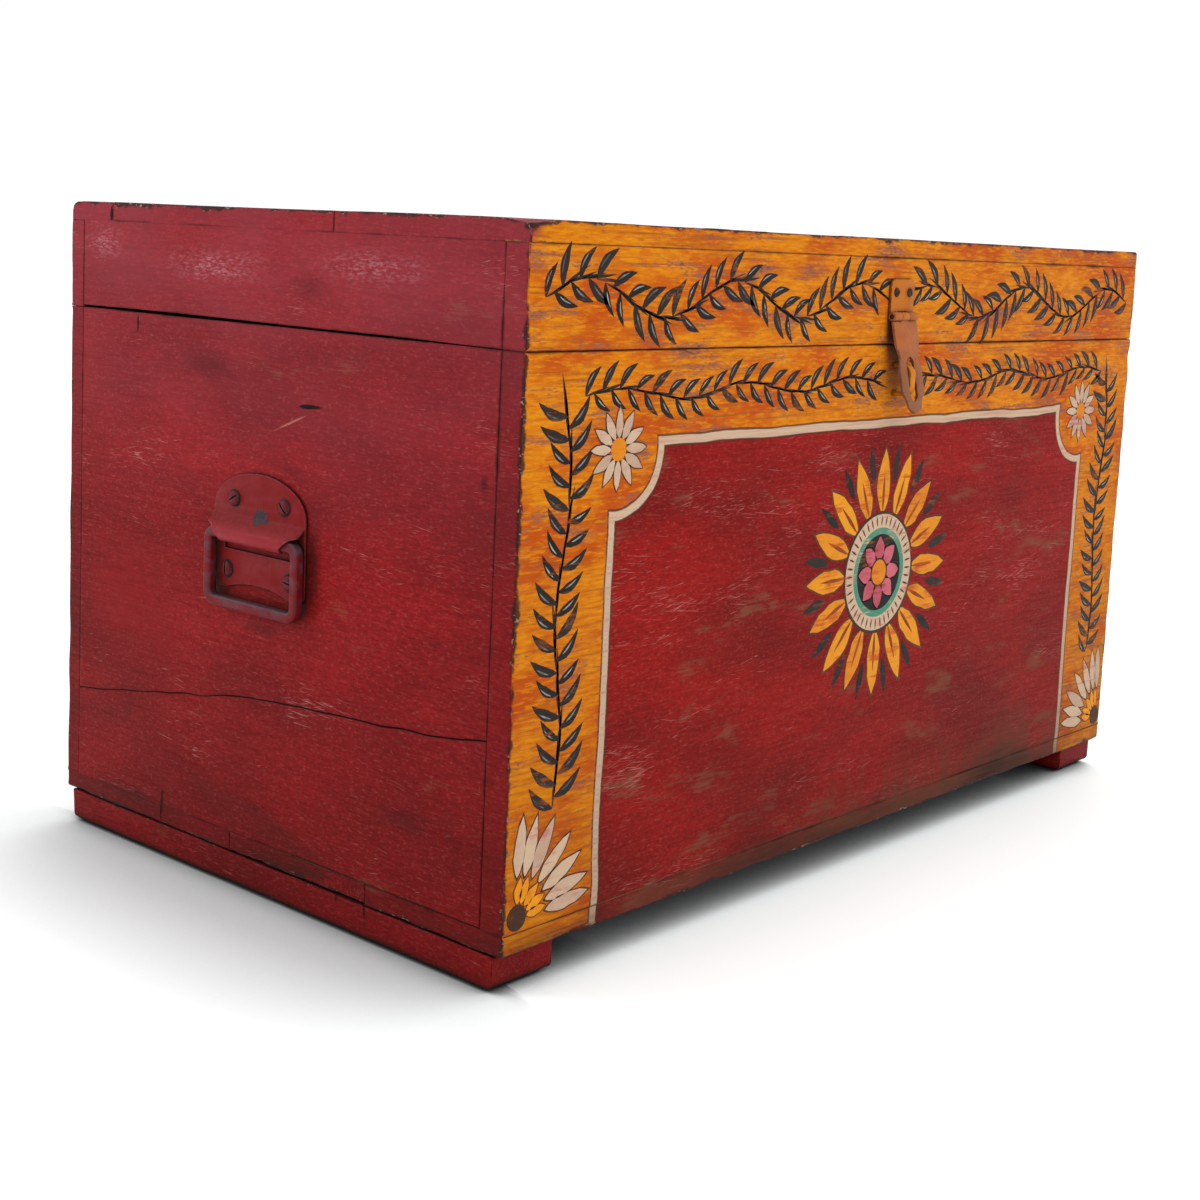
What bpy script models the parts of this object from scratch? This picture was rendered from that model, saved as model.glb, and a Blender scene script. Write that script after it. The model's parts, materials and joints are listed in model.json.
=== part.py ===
"""Painted wooden storage trunk: a nailed case on two runners, a deep hinged lid, a hasp
with its staple, and a stamped drop handle on each end.

Metres, +Z up. The front faces -Y and the length runs along X. The origin is on the floor,
under the middle of the whole part.
"""

import math

import bmesh
import bpy
from mathutils import Matrix

# Case and lid boards
BOX_LENGTH = 0.800
BOX_DEPTH = 0.476
WALL_HEIGHT = 0.360
RAIL_HEIGHT = 0.064
FRONT_THICK = 0.020
BACK_THICK = 0.016
END_THICK = 0.020
BOTTOM_THICK = 0.014
TOP_THICK = 0.014
TOP_FRONT_PLANK = 0.176
TOP_BACK_PLANK = 0.053
BOTTOM_FRONT_PLANK = 0.127
BOTTOM_SECOND_PLANK = 0.144
BOTTOM_THIRD_PLANK = 0.082
ARRIS = 0.0015
ARRIS_STEPS = 2

# Runners under the case
RUNNER_HEIGHT = 0.025
RUNNER_WIDTH = 0.057
RUNNER_INSET = 0.008
RUNNER_CORNER = 0.007

# Clearances
FIT = 0.0003
LID_GAP = 0.0008
PIN_FIT = 0.00025
KNUCKLE_GAP = 0.0004
HASP_CLEARANCE = 0.0010
POINT_COVER = 0.005

# Butt hinges on the back
HINGE_INSET = 0.140
HINGE_LENGTH = 0.076
HINGE_KNUCKLES = 5
LEAF_HEIGHT = 0.028
LEAF_THICK = 0.0020
LEAF_CORNER = 0.003
BARREL_RADIUS = 0.0042
HINGE_PIN_RADIUS = 0.0019
LEAF_SCREW_EDGE = 0.0105
LEAF_SCREW_END = 0.012

# Hasp plate on the lid front, its strap, and the staple in the case front
HASP_X = 0.005
HASP_RISE = 0.0205
HASP_WIDTH = 0.032
HASP_PLATE_HEIGHT = 0.028
HASP_SHEET = 0.0020
HASP_CORNER = 0.005
HASP_KNUCKLES = 3
HASP_BARREL_RADIUS = 0.0034
HASP_PIN_RADIUS = 0.0015
HASP_SCREW_EDGE = 0.010
HASP_SCREW_SIDE = 0.007
NECK_INSET = 0.0035
NECK_LENGTH = 0.003
NECK_SLOPE = 0.0078
STRAP_SLOT_WALL = 0.010
STRAP_TIP_MARGIN = 0.0093
STRAP_TIP_WIDTH = 0.020
STRAP_TIP_TAPER = 0.0065
STAPLE_DROP = 0.026
STAPLE_HEIGHT = 0.0245
STAPLE_REACH = 0.016
STAPLE_BAR = 0.003
STAPLE_WIDTH = 0.007
STAPLE_BEND = 0.008
SLOT_SIDE = 0.0015
SLOT_END = 0.0045

# Drop handle on each end: heights are from the bail's axis
HANDLE_RISE = 0.215
HANDLE_SETBACK = 0.005
HANDLE_SHEET = 0.0016
PLATE_WIDTH = 0.098
PLATE_TOP = 0.044
PLATE_SHOULDER = 0.018
PLATE_BOTTOM = 0.039
PLATE_CORNER = 0.006
ARCH_SIDE = 0.014
ARCH_RISE = 0.0055
UPPER_SCREW_RISE = 0.0245
UPPER_SCREW_SIDE = 0.022
LOWER_SCREW_DROP = 0.0260
LOWER_SCREW_SIDE = 0.0155
WINDOW_SIDE = 0.012
WINDOW_DROP = 0.0115
TROUGH_FIT = 0.0005
TROUGH_SLOPE = 45
TROUGH_WRAP = 80
LIP_SIDE = 0.016
EAR_SIDE = 0.001
EAR_GAP = 0.0007
EAR_SLANT = 0.002
BAIL_OVERHANG = 0.0015
BAIL_DROP = 0.048
BAIL_RADIUS = 0.0039
BAIL_TOP_BEND = 0.0065
BAIL_BOTTOM_BEND = 0.0070
BAIL_STUB_GAP = 0.020
BAIL_PLATE_GAP = 0.0009

# Screws
HANDLE_SCREW_HEAD = 0.0058
HANDLE_SCREW_CROWN = 0.0024
HANDLE_SCREW_SHANK = 0.0024
HINGE_SCREW_HEAD = 0.0040
HINGE_SCREW_CROWN = 0.0014
HINGE_SCREW_SHANK = 0.0018
HASP_SCREW_HEAD = 0.0034
HASP_SCREW_CROWN = 0.0014
HASP_SCREW_SHANK = 0.0015
SLOT_WIDTH = 0.0010
SLOT_SHARE = 0.5
POINT_SHARE = 0.3
CROWN_SHAPE = ((0.55, 0.85), (0.90, 0.40))
PIN_DOME = ((0.7, 0.1), (1.0, 0.5))

# How finely round shapes are cut, and where their shading breaks
SCREW_SIDES = 12
PIN_SIDES = 16
SHARP_ANGLE = math.radians(35)
WELD = 0.000001

# Surface frames: X across, Y up and Z out of the board they stand on
FRONT_TURN = (math.pi / 2, 0, 0)
BACK_TURN = (math.pi / 2, 0, math.pi)
LEFT_TURN = (math.pi / 2, 0, -math.pi / 2)
RIGHT_TURN = (math.pi / 2, 0, math.pi / 2)
ALONG_X = Matrix.Rotation(math.pi / 2, 4, "Y") @ Matrix.Rotation(math.pi / PIN_SIDES, 4, "Z")
ALONG_Z = Matrix.Identity(4)

# Colour, roughness and metallic value of each finish
RED_PAINT = ((0.270, 0.015, 0.022, 1), 0.55, 0.0)
ORANGE_PAINT = ((0.730, 0.290, 0.018, 1), 0.55, 0.0)
RED_STEEL = ((0.230, 0.014, 0.020, 1), 0.50, 0.0)
ORANGE_STEEL = ((0.480, 0.160, 0.030, 1), 0.50, 0.0)
WORN_STEEL = ((0.210, 0.190, 0.180, 1), 0.45, 1.0)

# Levels from the floor up
BOTTOM_LOW = RUNNER_HEIGHT + FIT
WALL_LOW = BOTTOM_LOW + BOTTOM_THICK + FIT
WALL_HIGH = WALL_LOW + WALL_HEIGHT
LID_LOW = WALL_HIGH + LID_GAP
RAIL_HIGH = LID_LOW + RAIL_HEIGHT
TOP_LOW = RAIL_HIGH + FIT
TOP_HIGH = TOP_LOW + TOP_THICK

# Screws and staple stop short of the inside of the board that they are driven into
HANDLE_SCREW_LENGTH = HANDLE_SHEET + END_THICK - POINT_COVER
HINGE_SCREW_LENGTH = LEAF_THICK + BACK_THICK - POINT_COVER
HASP_SCREW_LENGTH = HASP_SHEET + FRONT_THICK - POINT_COVER
STAPLE_DEPTH = FRONT_THICK - POINT_COVER

# The strap leans out just far enough for its tip to pass the staple as the lid rises
HASP_OUT = FIT + HASP_BARREL_RADIUS
SLOT_MIDDLE = HASP_RISE + LID_GAP + STAPLE_DROP
SLOT_LENGTH = STAPLE_HEIGHT + 2 * SLOT_END
SLOT_LOW = SLOT_MIDDLE + SLOT_LENGTH / 2
STRAP_LENGTH = SLOT_LOW + STRAP_TIP_MARGIN
STRAP_TILT = math.asin((STAPLE_REACH + HASP_CLEARANCE + HASP_SHEET / 2 - HASP_OUT) / SLOT_LOW)

# The hasp reaches further out in front than the hinges do behind
HASP_REACH = HASP_OUT + STRAP_LENGTH * math.sin(STRAP_TILT) + HASP_SHEET / 2
HINGE_OUT = FIT + BARREL_RADIUS
HINGE_REACH = HINGE_OUT + BARREL_RADIUS
FRONT_Y = (HASP_REACH - BOX_DEPTH - HINGE_REACH) / 2
BACK_Y = FRONT_Y + BOX_DEPTH
LEFT_X = -BOX_LENGTH / 2
RIGHT_X = BOX_LENGTH / 2

# The bail hangs clear of the plate, in the trough pressed out of it
BAIL_OUT = FIT + HANDLE_SHEET + BAIL_PLATE_GAP + BAIL_RADIUS
BAIL_WIDTH = PLATE_WIDTH + 2 * BAIL_OVERHANG
LEG_INSIDE = BAIL_WIDTH / 2 - 2 * BAIL_RADIUS

for old in list(bpy.data.objects):
    bpy.data.objects.remove(old)

trunk = bpy.data.collections.new("storage_trunk")
cutters = bpy.data.collections.new("cutters")
for collection in (trunk, cutters):
    bpy.context.scene.collection.children.link(collection)


def finish_material(name, finish):
    """Principled material of one piece."""
    colour, roughness, metallic = finish
    material = bpy.data.materials.new(name)
    material.use_nodes = True
    shader = material.node_tree.nodes["Principled BSDF"]
    shader.inputs["Base Color"].default_value = colour
    shader.inputs["Roughness"].default_value = roughness
    shader.inputs["Metallic"].default_value = metallic
    return material


def add_piece(name, data, finish, frame=None, location=(0, 0, 0)):
    """Named piece in the trunk's collection, with a material of its own."""
    piece = bpy.data.objects.new(name, data)
    trunk.objects.link(piece)
    piece.parent = frame
    piece.location = location
    if not data.materials:
        data.materials.append(None)
    piece.material_slots[0].link = "OBJECT"
    piece.material_slots[0].material = finish_material(name, finish)
    return piece


def add_frame(name, location, turn=(0, 0, 0), parent=None):
    """Empty that carries pieces, placed in world coordinates."""
    frame = bpy.data.objects.new(name, None)
    trunk.objects.link(frame)
    frame.parent = parent
    carried = parent.location if parent else (0, 0, 0)
    frame.location = [here - there for here, there in zip(location, carried)]
    frame.rotation_euler = turn
    return frame


def add_cutter(name, mesh, frame=None, location=(0, 0, 0)):
    """Tool body that other pieces are cut by or joined with."""
    cutter = bpy.data.objects.new(name, mesh)
    cutters.objects.link(cutter)
    cutter.parent = frame
    cutter.location = location
    cutter.hide_render = True
    cutter.display_type = "WIRE"
    return cutter


def combine(piece, tool, operation):
    """Boolean of a piece with a tool body."""
    modifier = piece.modifiers.new(tool.name, "BOOLEAN")
    modifier.operation = operation
    modifier.object = tool


def evaluated_mesh(piece):
    """Plain mesh of an object as its modifiers leave it, with loose caps welded."""
    bpy.context.view_layer.update()
    depsgraph = bpy.context.evaluated_depsgraph_get()
    mesh = bpy.data.meshes.new_from_object(piece.evaluated_get(depsgraph))
    shape = bmesh.new()
    shape.from_mesh(mesh)
    bmesh.ops.remove_doubles(shape, verts=shape.verts, dist=WELD)
    bmesh.ops.recalc_face_normals(shape, faces=shape.faces)
    shape.to_mesh(mesh)
    shape.free()
    return mesh


def take_mesh(tool):
    """Evaluated mesh of a helper object, which is then removed."""
    mesh = evaluated_mesh(tool)
    bpy.data.objects.remove(tool)
    return mesh


def blocks_mesh(name, corners):
    """Boxes, each between its lowest and highest corner."""
    shape = bmesh.new()
    for low, high in corners:
        cube = bmesh.ops.create_cube(shape, size=1)["verts"]
        size = [b - a for a, b in zip(low, high)]
        middle = [(a + b) / 2 for a, b in zip(low, high)]
        bmesh.ops.scale(shape, verts=cube, vec=size)
        bmesh.ops.translate(shape, verts=cube, vec=middle)
    mesh = bpy.data.meshes.new(name)
    shape.to_mesh(mesh)
    shape.free()
    return mesh


def block_mesh(name, low, high):
    """Box between two corners."""
    return blocks_mesh(name, [(low, high)])


def rods_mesh(name, radius, spans, sides, turn):
    """Round rods on one axis, each between two places along it."""
    shape = bmesh.new()
    for low, high in spans:
        place = turn @ Matrix.Translation((0, 0, (low + high) / 2))
        bmesh.ops.create_cone(shape, cap_ends=True, segments=sides, radius1=radius,
                              radius2=radius, depth=high - low, matrix=place)
    mesh = bpy.data.meshes.new(name)
    shape.to_mesh(mesh)
    shape.free()
    return mesh


def smooth(mesh):
    """Round pieces are shaded smooth up to their sharp edges."""
    mesh.shade_smooth()
    mesh.set_sharp_from_angle(angle=SHARP_ANGLE)
    return mesh


def arc(x, y, radius, start, end, steps):
    """Points on an arc between two angles in degrees, both ends included."""
    angles = [math.radians(start + (end - start) * i / steps) for i in range(steps + 1)]
    return [(x + radius * math.cos(a), y + radius * math.sin(a)) for a in angles]


def outline_mesh(name, outlines, thickness):
    """Flat outline, with any holes, of a thickness about the XY plane."""
    curve = bpy.data.curves.new(name, "CURVE")
    curve.dimensions = "2D"
    curve.fill_mode = "BOTH"
    curve.extrude = thickness / 2
    for outline in outlines:
        spline = curve.splines.new("POLY")
        spline.points.add(len(outline) - 1)
        for point, (x, y) in zip(spline.points, outline):
            point.co = (x, y, 0, 1)
        spline.use_cyclic_u = True
    return take_mesh(add_cutter(name, curve))


def turned_mesh(name, profile, sides):
    """Profile of (radius, height) pairs, from top to bottom, turned about Z."""
    mesh = bpy.data.meshes.new(name)
    edges = [(i, i + 1) for i in range(len(profile) - 1)]
    mesh.from_pydata([(radius, 0, height) for radius, height in profile], edges, [])
    tool = add_cutter(name, mesh)
    turn = tool.modifiers.new("turn", "SCREW")
    turn.axis = "Z"
    turn.steps = sides
    turn.render_steps = sides
    turn.use_merge_vertices = True
    turn.merge_threshold = WELD
    return smooth(take_mesh(tool))


def screw_mesh(name, head, crown, shank, length):
    """Slotted round-head wood screw, standing on the underside of its head."""
    dome = [(across * head, up * crown) for across, up in CROWN_SHAPE]
    profile = [(0, crown)] + dome + [(head, 0), (shank, 0)]
    profile += [(shank, (POINT_SHARE - 1) * length), (0, -length)]
    tool = add_cutter(name, turned_mesh(name, profile, SCREW_SIDES))
    low = (-head, -SLOT_WIDTH / 2, crown * (1 - SLOT_SHARE))
    slot = add_cutter(name + "_slot", block_mesh(name, low, (head, SLOT_WIDTH / 2, 2 * crown)))
    combine(tool, slot, "DIFFERENCE")
    return take_mesh(tool)


def drive_screw(name, mesh, frame, place, shank, length, finish, through):
    """Screw with its head on a plate, and its hole through the plate and into the board."""
    add_piece(name, mesh, finish, frame, place)
    radius = (shank + FIT) / math.cos(math.pi / SCREW_SIDES)
    hole = rods_mesh(name, radius, [(-length - FIT, length)], SCREW_SIDES, ALONG_Z)
    cutter = add_cutter(name + "_hole", hole, frame, place)
    for piece in through:
        combine(piece, cutter, "DIFFERENCE")


def board(name, low, high, finish, frame=None):
    """Sawn board with worn arrises, placed by its lowest and highest corners."""
    carried = frame.location if frame else (0, 0, 0)
    middle = [(a + b) / 2 for a, b in zip(low, high)]
    half = [(b - a) / 2 for a, b in zip(low, high)]
    mesh = block_mesh(name, [-h for h in half], half)
    place = [m - c for m, c in zip(middle, carried)]
    piece = add_piece(name, mesh, finish, frame, place)
    edges = piece.modifiers.new("arris", "BEVEL")
    edges.width = ARRIS
    edges.segments = ARRIS_STEPS
    return piece


def ring_of_boards(group, low, high, finish, front_finish, frame=None):
    """Front and back boards over the full length, with the end boards between them."""
    inner_front = FRONT_Y + FRONT_THICK + FIT
    inner_back = BACK_Y - BACK_THICK - FIT
    spans = {
        "front": ((LEFT_X, FRONT_Y, low), (RIGHT_X, FRONT_Y + FRONT_THICK, high)),
        "back": ((LEFT_X, BACK_Y - BACK_THICK, low), (RIGHT_X, BACK_Y, high)),
        "left": ((LEFT_X, inner_front, low), (LEFT_X + END_THICK, inner_back, high)),
        "right": ((RIGHT_X - END_THICK, inner_front, low), (RIGHT_X, inner_back, high)),
    }
    boards = {}
    for side, (corner, opposite) in spans.items():
        colour = front_finish if side == "front" else finish
        boards[side] = board(group.format(side), corner, opposite, colour, frame)
    return boards


def planks(group, names, widths, low, high, finish, frame=None):
    """Lengthwise planks laid side by side from front to back; the last takes what is left."""
    start = FRONT_Y
    for i, name in enumerate(names):
        end = start + widths[i] if i < len(widths) else BACK_Y
        gap = FIT if i < len(widths) else 0
        board(group.format(name), (LEFT_X, start, low), (RIGHT_X, end - gap, high), finish, frame)
        start = end


def runner(name, x_low):
    """Foot under one end, its lower corners cut off, drawn from the side and extruded."""
    front = FRONT_Y + RUNNER_INSET
    back = BACK_Y - RUNNER_INSET
    side = [(front, RUNNER_HEIGHT), (front, RUNNER_CORNER), (front + RUNNER_CORNER, 0),
            (back - RUNNER_CORNER, 0), (back, RUNNER_CORNER), (back, RUNNER_HEIGHT)]
    mesh = outline_mesh(name, [side], RUNNER_WIDTH)
    foot = add_piece(name, mesh, RED_PAINT, None, (x_low + RUNNER_WIDTH / 2, 0, 0))
    foot.rotation_euler = RIGHT_TURN


def knuckle_spans(length, count):
    """Places along a hinge pin of its equal knuckles."""
    each = (length - (count - 1) * KNUCKLE_GAP) / count
    starts = [-length / 2 + i * (each + KNUCKLE_GAP) for i in range(count)]
    return [(start, start + each) for start in starts]


def leaf_outline(length, height, corner):
    """Hinge leaf from its pin up. Its sides are set in, so none lies flush with a knuckle."""
    half = length / 2 - KNUCKLE_GAP / 2
    top = arc(half - corner, height - corner, corner, 0, 90, 3)
    return [(-half, 0), (half, 0)] + top + [(-x, y) for x, y in reversed(top)]


def knuckled(piece, name, frame, spans, own, radius, pin, turn=0):
    """Joins a leaf to its own knuckles, cuts it back at the others and bores it for the pin."""
    reach = 2 * spans[-1][1]
    notch = radius + KNUCKLE_GAP
    side = KNUCKLE_GAP + KNUCKLE_GAP / 2
    others = [span for i, span in enumerate(spans) if i not in own]
    gaps = [((low - side, -notch, -reach), (high + side, notch, reach)) for low, high in others]
    bore = (pin + PIN_FIT) / math.cos(math.pi / PIN_SIDES)
    tools = (
        ("gaps", blocks_mesh(name, gaps), "DIFFERENCE"),
        ("knuckles", rods_mesh(name, radius, [spans[i] for i in own], PIN_SIDES, ALONG_X), "UNION"),
        ("bore", rods_mesh(name, bore, [(-reach, reach)], PIN_SIDES, ALONG_X), "DIFFERENCE"),
    )
    for label, mesh, operation in tools:
        tool = add_cutter(f"{name}_{label}", mesh, frame)
        tool.rotation_euler.x = turn
        combine(piece, tool, operation)


def hinge_pin(name, radius, length, finish, frame):
    """Plain pin with slightly domed ends, along X."""
    half = length / 2
    top = [(0, half)] + [(across * radius, half - down * radius) for across, down in PIN_DOME]
    profile = top + [(across, -up) for across, up in reversed(top)]
    pin = add_piece(name, turned_mesh(name, profile, PIN_SIDES), finish, frame)
    pin.rotation_euler.y = math.pi / 2


def build_hinge(side, x, case_back, lid_back, lid_frame, screw):
    """Butt hinge screwed to the back: one leaf on the lid, one on the case, and the pin."""
    axis = (x, BACK_Y + HINGE_OUT, (WALL_HIGH + LID_LOW) / 2)
    frames = {"case": add_frame(side + "_hinge_case_frame", axis, BACK_TURN),
              "lid": add_frame(side + "_hinge_lid_frame", axis, BACK_TURN, lid_frame)}
    spans = knuckle_spans(HINGE_LENGTH, HINGE_KNUCKLES)
    own = {"case": range(0, HINGE_KNUCKLES, 2), "lid": range(1, HINGE_KNUCKLES, 2)}
    boards = {"case": case_back, "lid": lid_back}
    for body, up in (("case", -1), ("lid", 1)):
        name = f"{side}_hinge_{body}_leaf"
        frame = frames[body]
        outline = leaf_outline(HINGE_LENGTH, LEAF_HEIGHT, LEAF_CORNER)
        mesh = outline_mesh(name, [[(px, up * py) for px, py in outline]], LEAF_THICK)
        back = LEAF_THICK / 2 - BARREL_RADIUS
        leaf = add_piece(name, mesh, RED_STEEL, frame, (0, 0, back))
        knuckled(leaf, name, frame, spans, own[body], BARREL_RADIUS, HINGE_PIN_RADIUS)
        seat = LEAF_THICK - BARREL_RADIUS + FIT
        spacing = HINGE_LENGTH / 2 - LEAF_SCREW_END
        for i in (-1, 0, 1):
            place = (i * spacing, up * (LEAF_HEIGHT - LEAF_SCREW_EDGE), seat)
            drive_screw(f"{name}_screw_{i + 2}", screw, frame, place, HINGE_SCREW_SHANK,
                        HINGE_SCREW_LENGTH, RED_STEEL, (leaf, boards[body]))
    hinge_pin(side + "_hinge_pin", HINGE_PIN_RADIUS, HINGE_LENGTH, WORN_STEEL, frames["case"])


def strap_outlines(spans):
    """Strap that hangs from the pin: shoulders, neck, slotted part and rounded tip."""
    half = HASP_WIDTH / 2
    neck = half - NECK_INSET
    tip = STRAP_TIP_WIDTH / 2
    slot_half = STAPLE_WIDTH / 2 + SLOT_SIDE
    wide = slot_half + STRAP_SLOT_WALL
    slot_high = SLOT_MIDDLE - SLOT_LENGTH / 2
    shoulder = HASP_BARREL_RADIUS + KNUCKLE_GAP
    middle = spans[1][1]
    neck_high = slot_high - NECK_LENGTH / 2
    neck_low = slot_high + NECK_LENGTH / 2
    right = [(middle, 0), (middle, -shoulder), (half, -shoulder), (half, NECK_SLOPE - neck_high),
             (neck, -neck_high), (neck, -neck_low), (wide, -neck_low - NECK_SLOPE),
             (wide, STRAP_TIP_TAPER - SLOT_LOW)]
    right += arc(0, tip - STRAP_LENGTH, tip, 0, -90, 6)
    left = [(-x, y) for x, y in reversed(right[:-1])]
    slot = arc(0, slot_half - SLOT_LOW, slot_half, 180, 360, 8)
    slot += arc(0, -slot_high - slot_half, slot_half, 0, 180, 8)
    return [right + left, slot]


def build_staple(case_front):
    """Bent flat bar driven into the case front, its loop standing out for a padlock."""
    high = STAPLE_HEIGHT / 2
    bend = STAPLE_BEND
    crown = STAPLE_REACH - bend
    inner = bend - STAPLE_BAR
    outside = [(-STAPLE_DEPTH, high)] + arc(crown, high - bend, bend, 90, 0, 6)
    outside += arc(crown, bend - high, bend, 0, -90, 6) + [(-STAPLE_DEPTH, -high)]
    inside = [(-STAPLE_DEPTH, STAPLE_BAR - high)] + arc(crown, bend - high, inner, -90, 0, 6)
    inside += arc(crown, high - bend, inner, 0, 90, 6) + [(-STAPLE_DEPTH, high - STAPLE_BAR)]
    mesh = outline_mesh("staple", [outside + inside], STAPLE_WIDTH)
    frame = add_frame("staple_frame", (HASP_X, FRONT_Y, WALL_HIGH - STAPLE_DROP))
    staple = add_piece("staple", mesh, ORANGE_STEEL, frame)
    staple.rotation_euler = LEFT_TURN
    for i, level in enumerate((high - STAPLE_BAR, -high)):
        low = (-STAPLE_WIDTH / 2 - FIT, -STAPLE_DEPTH, level - FIT)
        top = (STAPLE_WIDTH / 2 + FIT, STAPLE_DEPTH + FIT, level + STAPLE_BAR + FIT)
        socket = add_cutter(f"staple_socket_{i + 1}", block_mesh("staple_socket", low, top), frame)
        combine(case_front, socket, "DIFFERENCE")


def build_hasp(lid_front, lid_frame):
    """Plate on the lid front, with the strap hanging from its pin."""
    axis = (HASP_X, FRONT_Y - HASP_OUT, LID_LOW + HASP_RISE)
    frame = add_frame("hasp_frame", axis, FRONT_TURN, lid_frame)
    spans = knuckle_spans(HASP_WIDTH, HASP_KNUCKLES)
    outline = leaf_outline(HASP_WIDTH, HASP_PLATE_HEIGHT, HASP_CORNER)
    mesh = outline_mesh("hasp_plate", [outline], HASP_SHEET)
    plate_out = HASP_SHEET / 2 - HASP_BARREL_RADIUS
    plate = add_piece("hasp_plate", mesh, ORANGE_STEEL, frame, (0, 0, plate_out))
    knuckled(plate, "hasp_plate", frame, spans, (0, 2), HASP_BARREL_RADIUS, HASP_PIN_RADIUS)
    screw = screw_mesh("hasp_screw", HASP_SCREW_HEAD, HASP_SCREW_CROWN, HASP_SCREW_SHANK,
                       HASP_SCREW_LENGTH)
    side = HASP_WIDTH / 2 - HASP_SCREW_SIDE
    for i in (-1, 1):
        place = (i * side, HASP_PLATE_HEIGHT - HASP_SCREW_EDGE, plate_out + HASP_SHEET / 2 + FIT)
        drive_screw(f"hasp_screw_{(i + 3) // 2}", screw, frame, place, HASP_SCREW_SHANK,
                    HASP_SCREW_LENGTH, WORN_STEEL, (plate, lid_front))
    hinge_pin("hasp_pin", HASP_PIN_RADIUS, HASP_WIDTH, WORN_STEEL, frame)
    mesh = outline_mesh("hasp_strap", strap_outlines(spans), HASP_SHEET)
    strap = add_piece("hasp_strap", mesh, ORANGE_STEEL, frame)
    strap.rotation_euler.x = -STRAP_TILT
    knuckled(strap, "hasp_strap", frame, spans, (1,), HASP_BARREL_RADIUS, HASP_PIN_RADIUS,
             -STRAP_TILT)


def plate_outline():
    """Handle plate: domed top, straight sides, and an arched lower edge between round corners."""
    half = PLATE_WIDTH / 2
    dome = [(half * x, PLATE_SHOULDER + (PLATE_TOP - PLATE_SHOULDER) * y)
            for x, y in arc(0, 0, 1, 0, 180, 18)]
    corner = PLATE_CORNER
    left = arc(corner - half, corner - PLATE_BOTTOM, corner, 180, 270, 4)
    right = arc(half - corner, corner - PLATE_BOTTOM, corner, 270, 360, 4)
    chord = half - ARCH_SIDE
    radius = (chord ** 2 + ARCH_RISE ** 2) / (2 * ARCH_RISE)
    spread = math.degrees(math.asin(chord / radius))
    middle = ARCH_RISE - PLATE_BOTTOM - radius
    arch = arc(0, middle, radius, 90 + spread, 90 - spread, 10)
    return dome + left + arch + right


def trough_mesh(name, level):
    """Sheet pressed out of the plate: a slope that runs into a round lip over the bail."""
    radius = BAIL_RADIUS + TROUGH_FIT + HANDLE_SHEET / 2
    section = [(y, z) for z, y in arc(0, 0, radius, -TROUGH_WRAP, TROUGH_SLOPE, 10)]
    fall = math.tan(math.radians(TROUGH_SLOPE))
    root = section[-1][0] + (section[-1][1] - level) / fall
    section.append((root, level))
    half = PLATE_WIDTH / 2 - EAR_SIDE
    shape = bmesh.new()
    rows = [[shape.verts.new((x, y, z)) for y, z in section] for x in (-half, half)]
    for i in range(len(section) - 1):
        shape.faces.new((rows[0][i], rows[1][i], rows[1][i + 1], rows[0][i + 1]))
    sheet = bpy.data.meshes.new(name)
    shape.to_mesh(sheet)
    shape.free()
    tool = add_cutter(name, sheet)
    wall = tool.modifiers.new("wall", "SOLIDIFY")
    wall.thickness = HANDLE_SHEET
    wall.offset = 0
    wall.use_even_offset = True
    lip = PLATE_WIDTH / 2 - LIP_SIDE
    ear = BAIL_RADIUS + EAR_GAP
    inside = LEG_INSIDE - EAR_GAP
    past = root + radius
    right = [(lip, -past), (lip, -radius / 2), (inside, ear), (half, ear + EAR_SLANT), (half, past)]
    keep = right + [(-x, y) for x, y in reversed(right)]
    ends = add_cutter(name + "_ends", outline_mesh(name, [keep], 2 * past))
    combine(tool, ends, "INTERSECT")
    return take_mesh(tool), root


def bail_curve(name):
    """Bent rod: its two stubs lie in the trough, its legs and grip hang below."""
    leg = BAIL_WIDTH / 2 - BAIL_RADIUS
    top, low = BAIL_TOP_BEND, BAIL_BOTTOM_BEND
    right = [(BAIL_STUB_GAP / 2, 0)] + arc(leg - top, -top, top, 90, 0, 6)
    right += arc(leg - low, low - BAIL_DROP, low, 0, -90, 6)
    path = right + [(-x, y) for x, y in reversed(right)]
    curve = bpy.data.curves.new(name, "CURVE")
    curve.dimensions = "3D"
    curve.bevel_depth = BAIL_RADIUS
    curve.bevel_resolution = 3
    curve.use_fill_caps = True
    spline = curve.splines.new("POLY")
    spline.points.add(len(path) - 1)
    for point, (x, y) in zip(spline.points, path):
        point.co = (x, y, 0, 1)
    return curve


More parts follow.
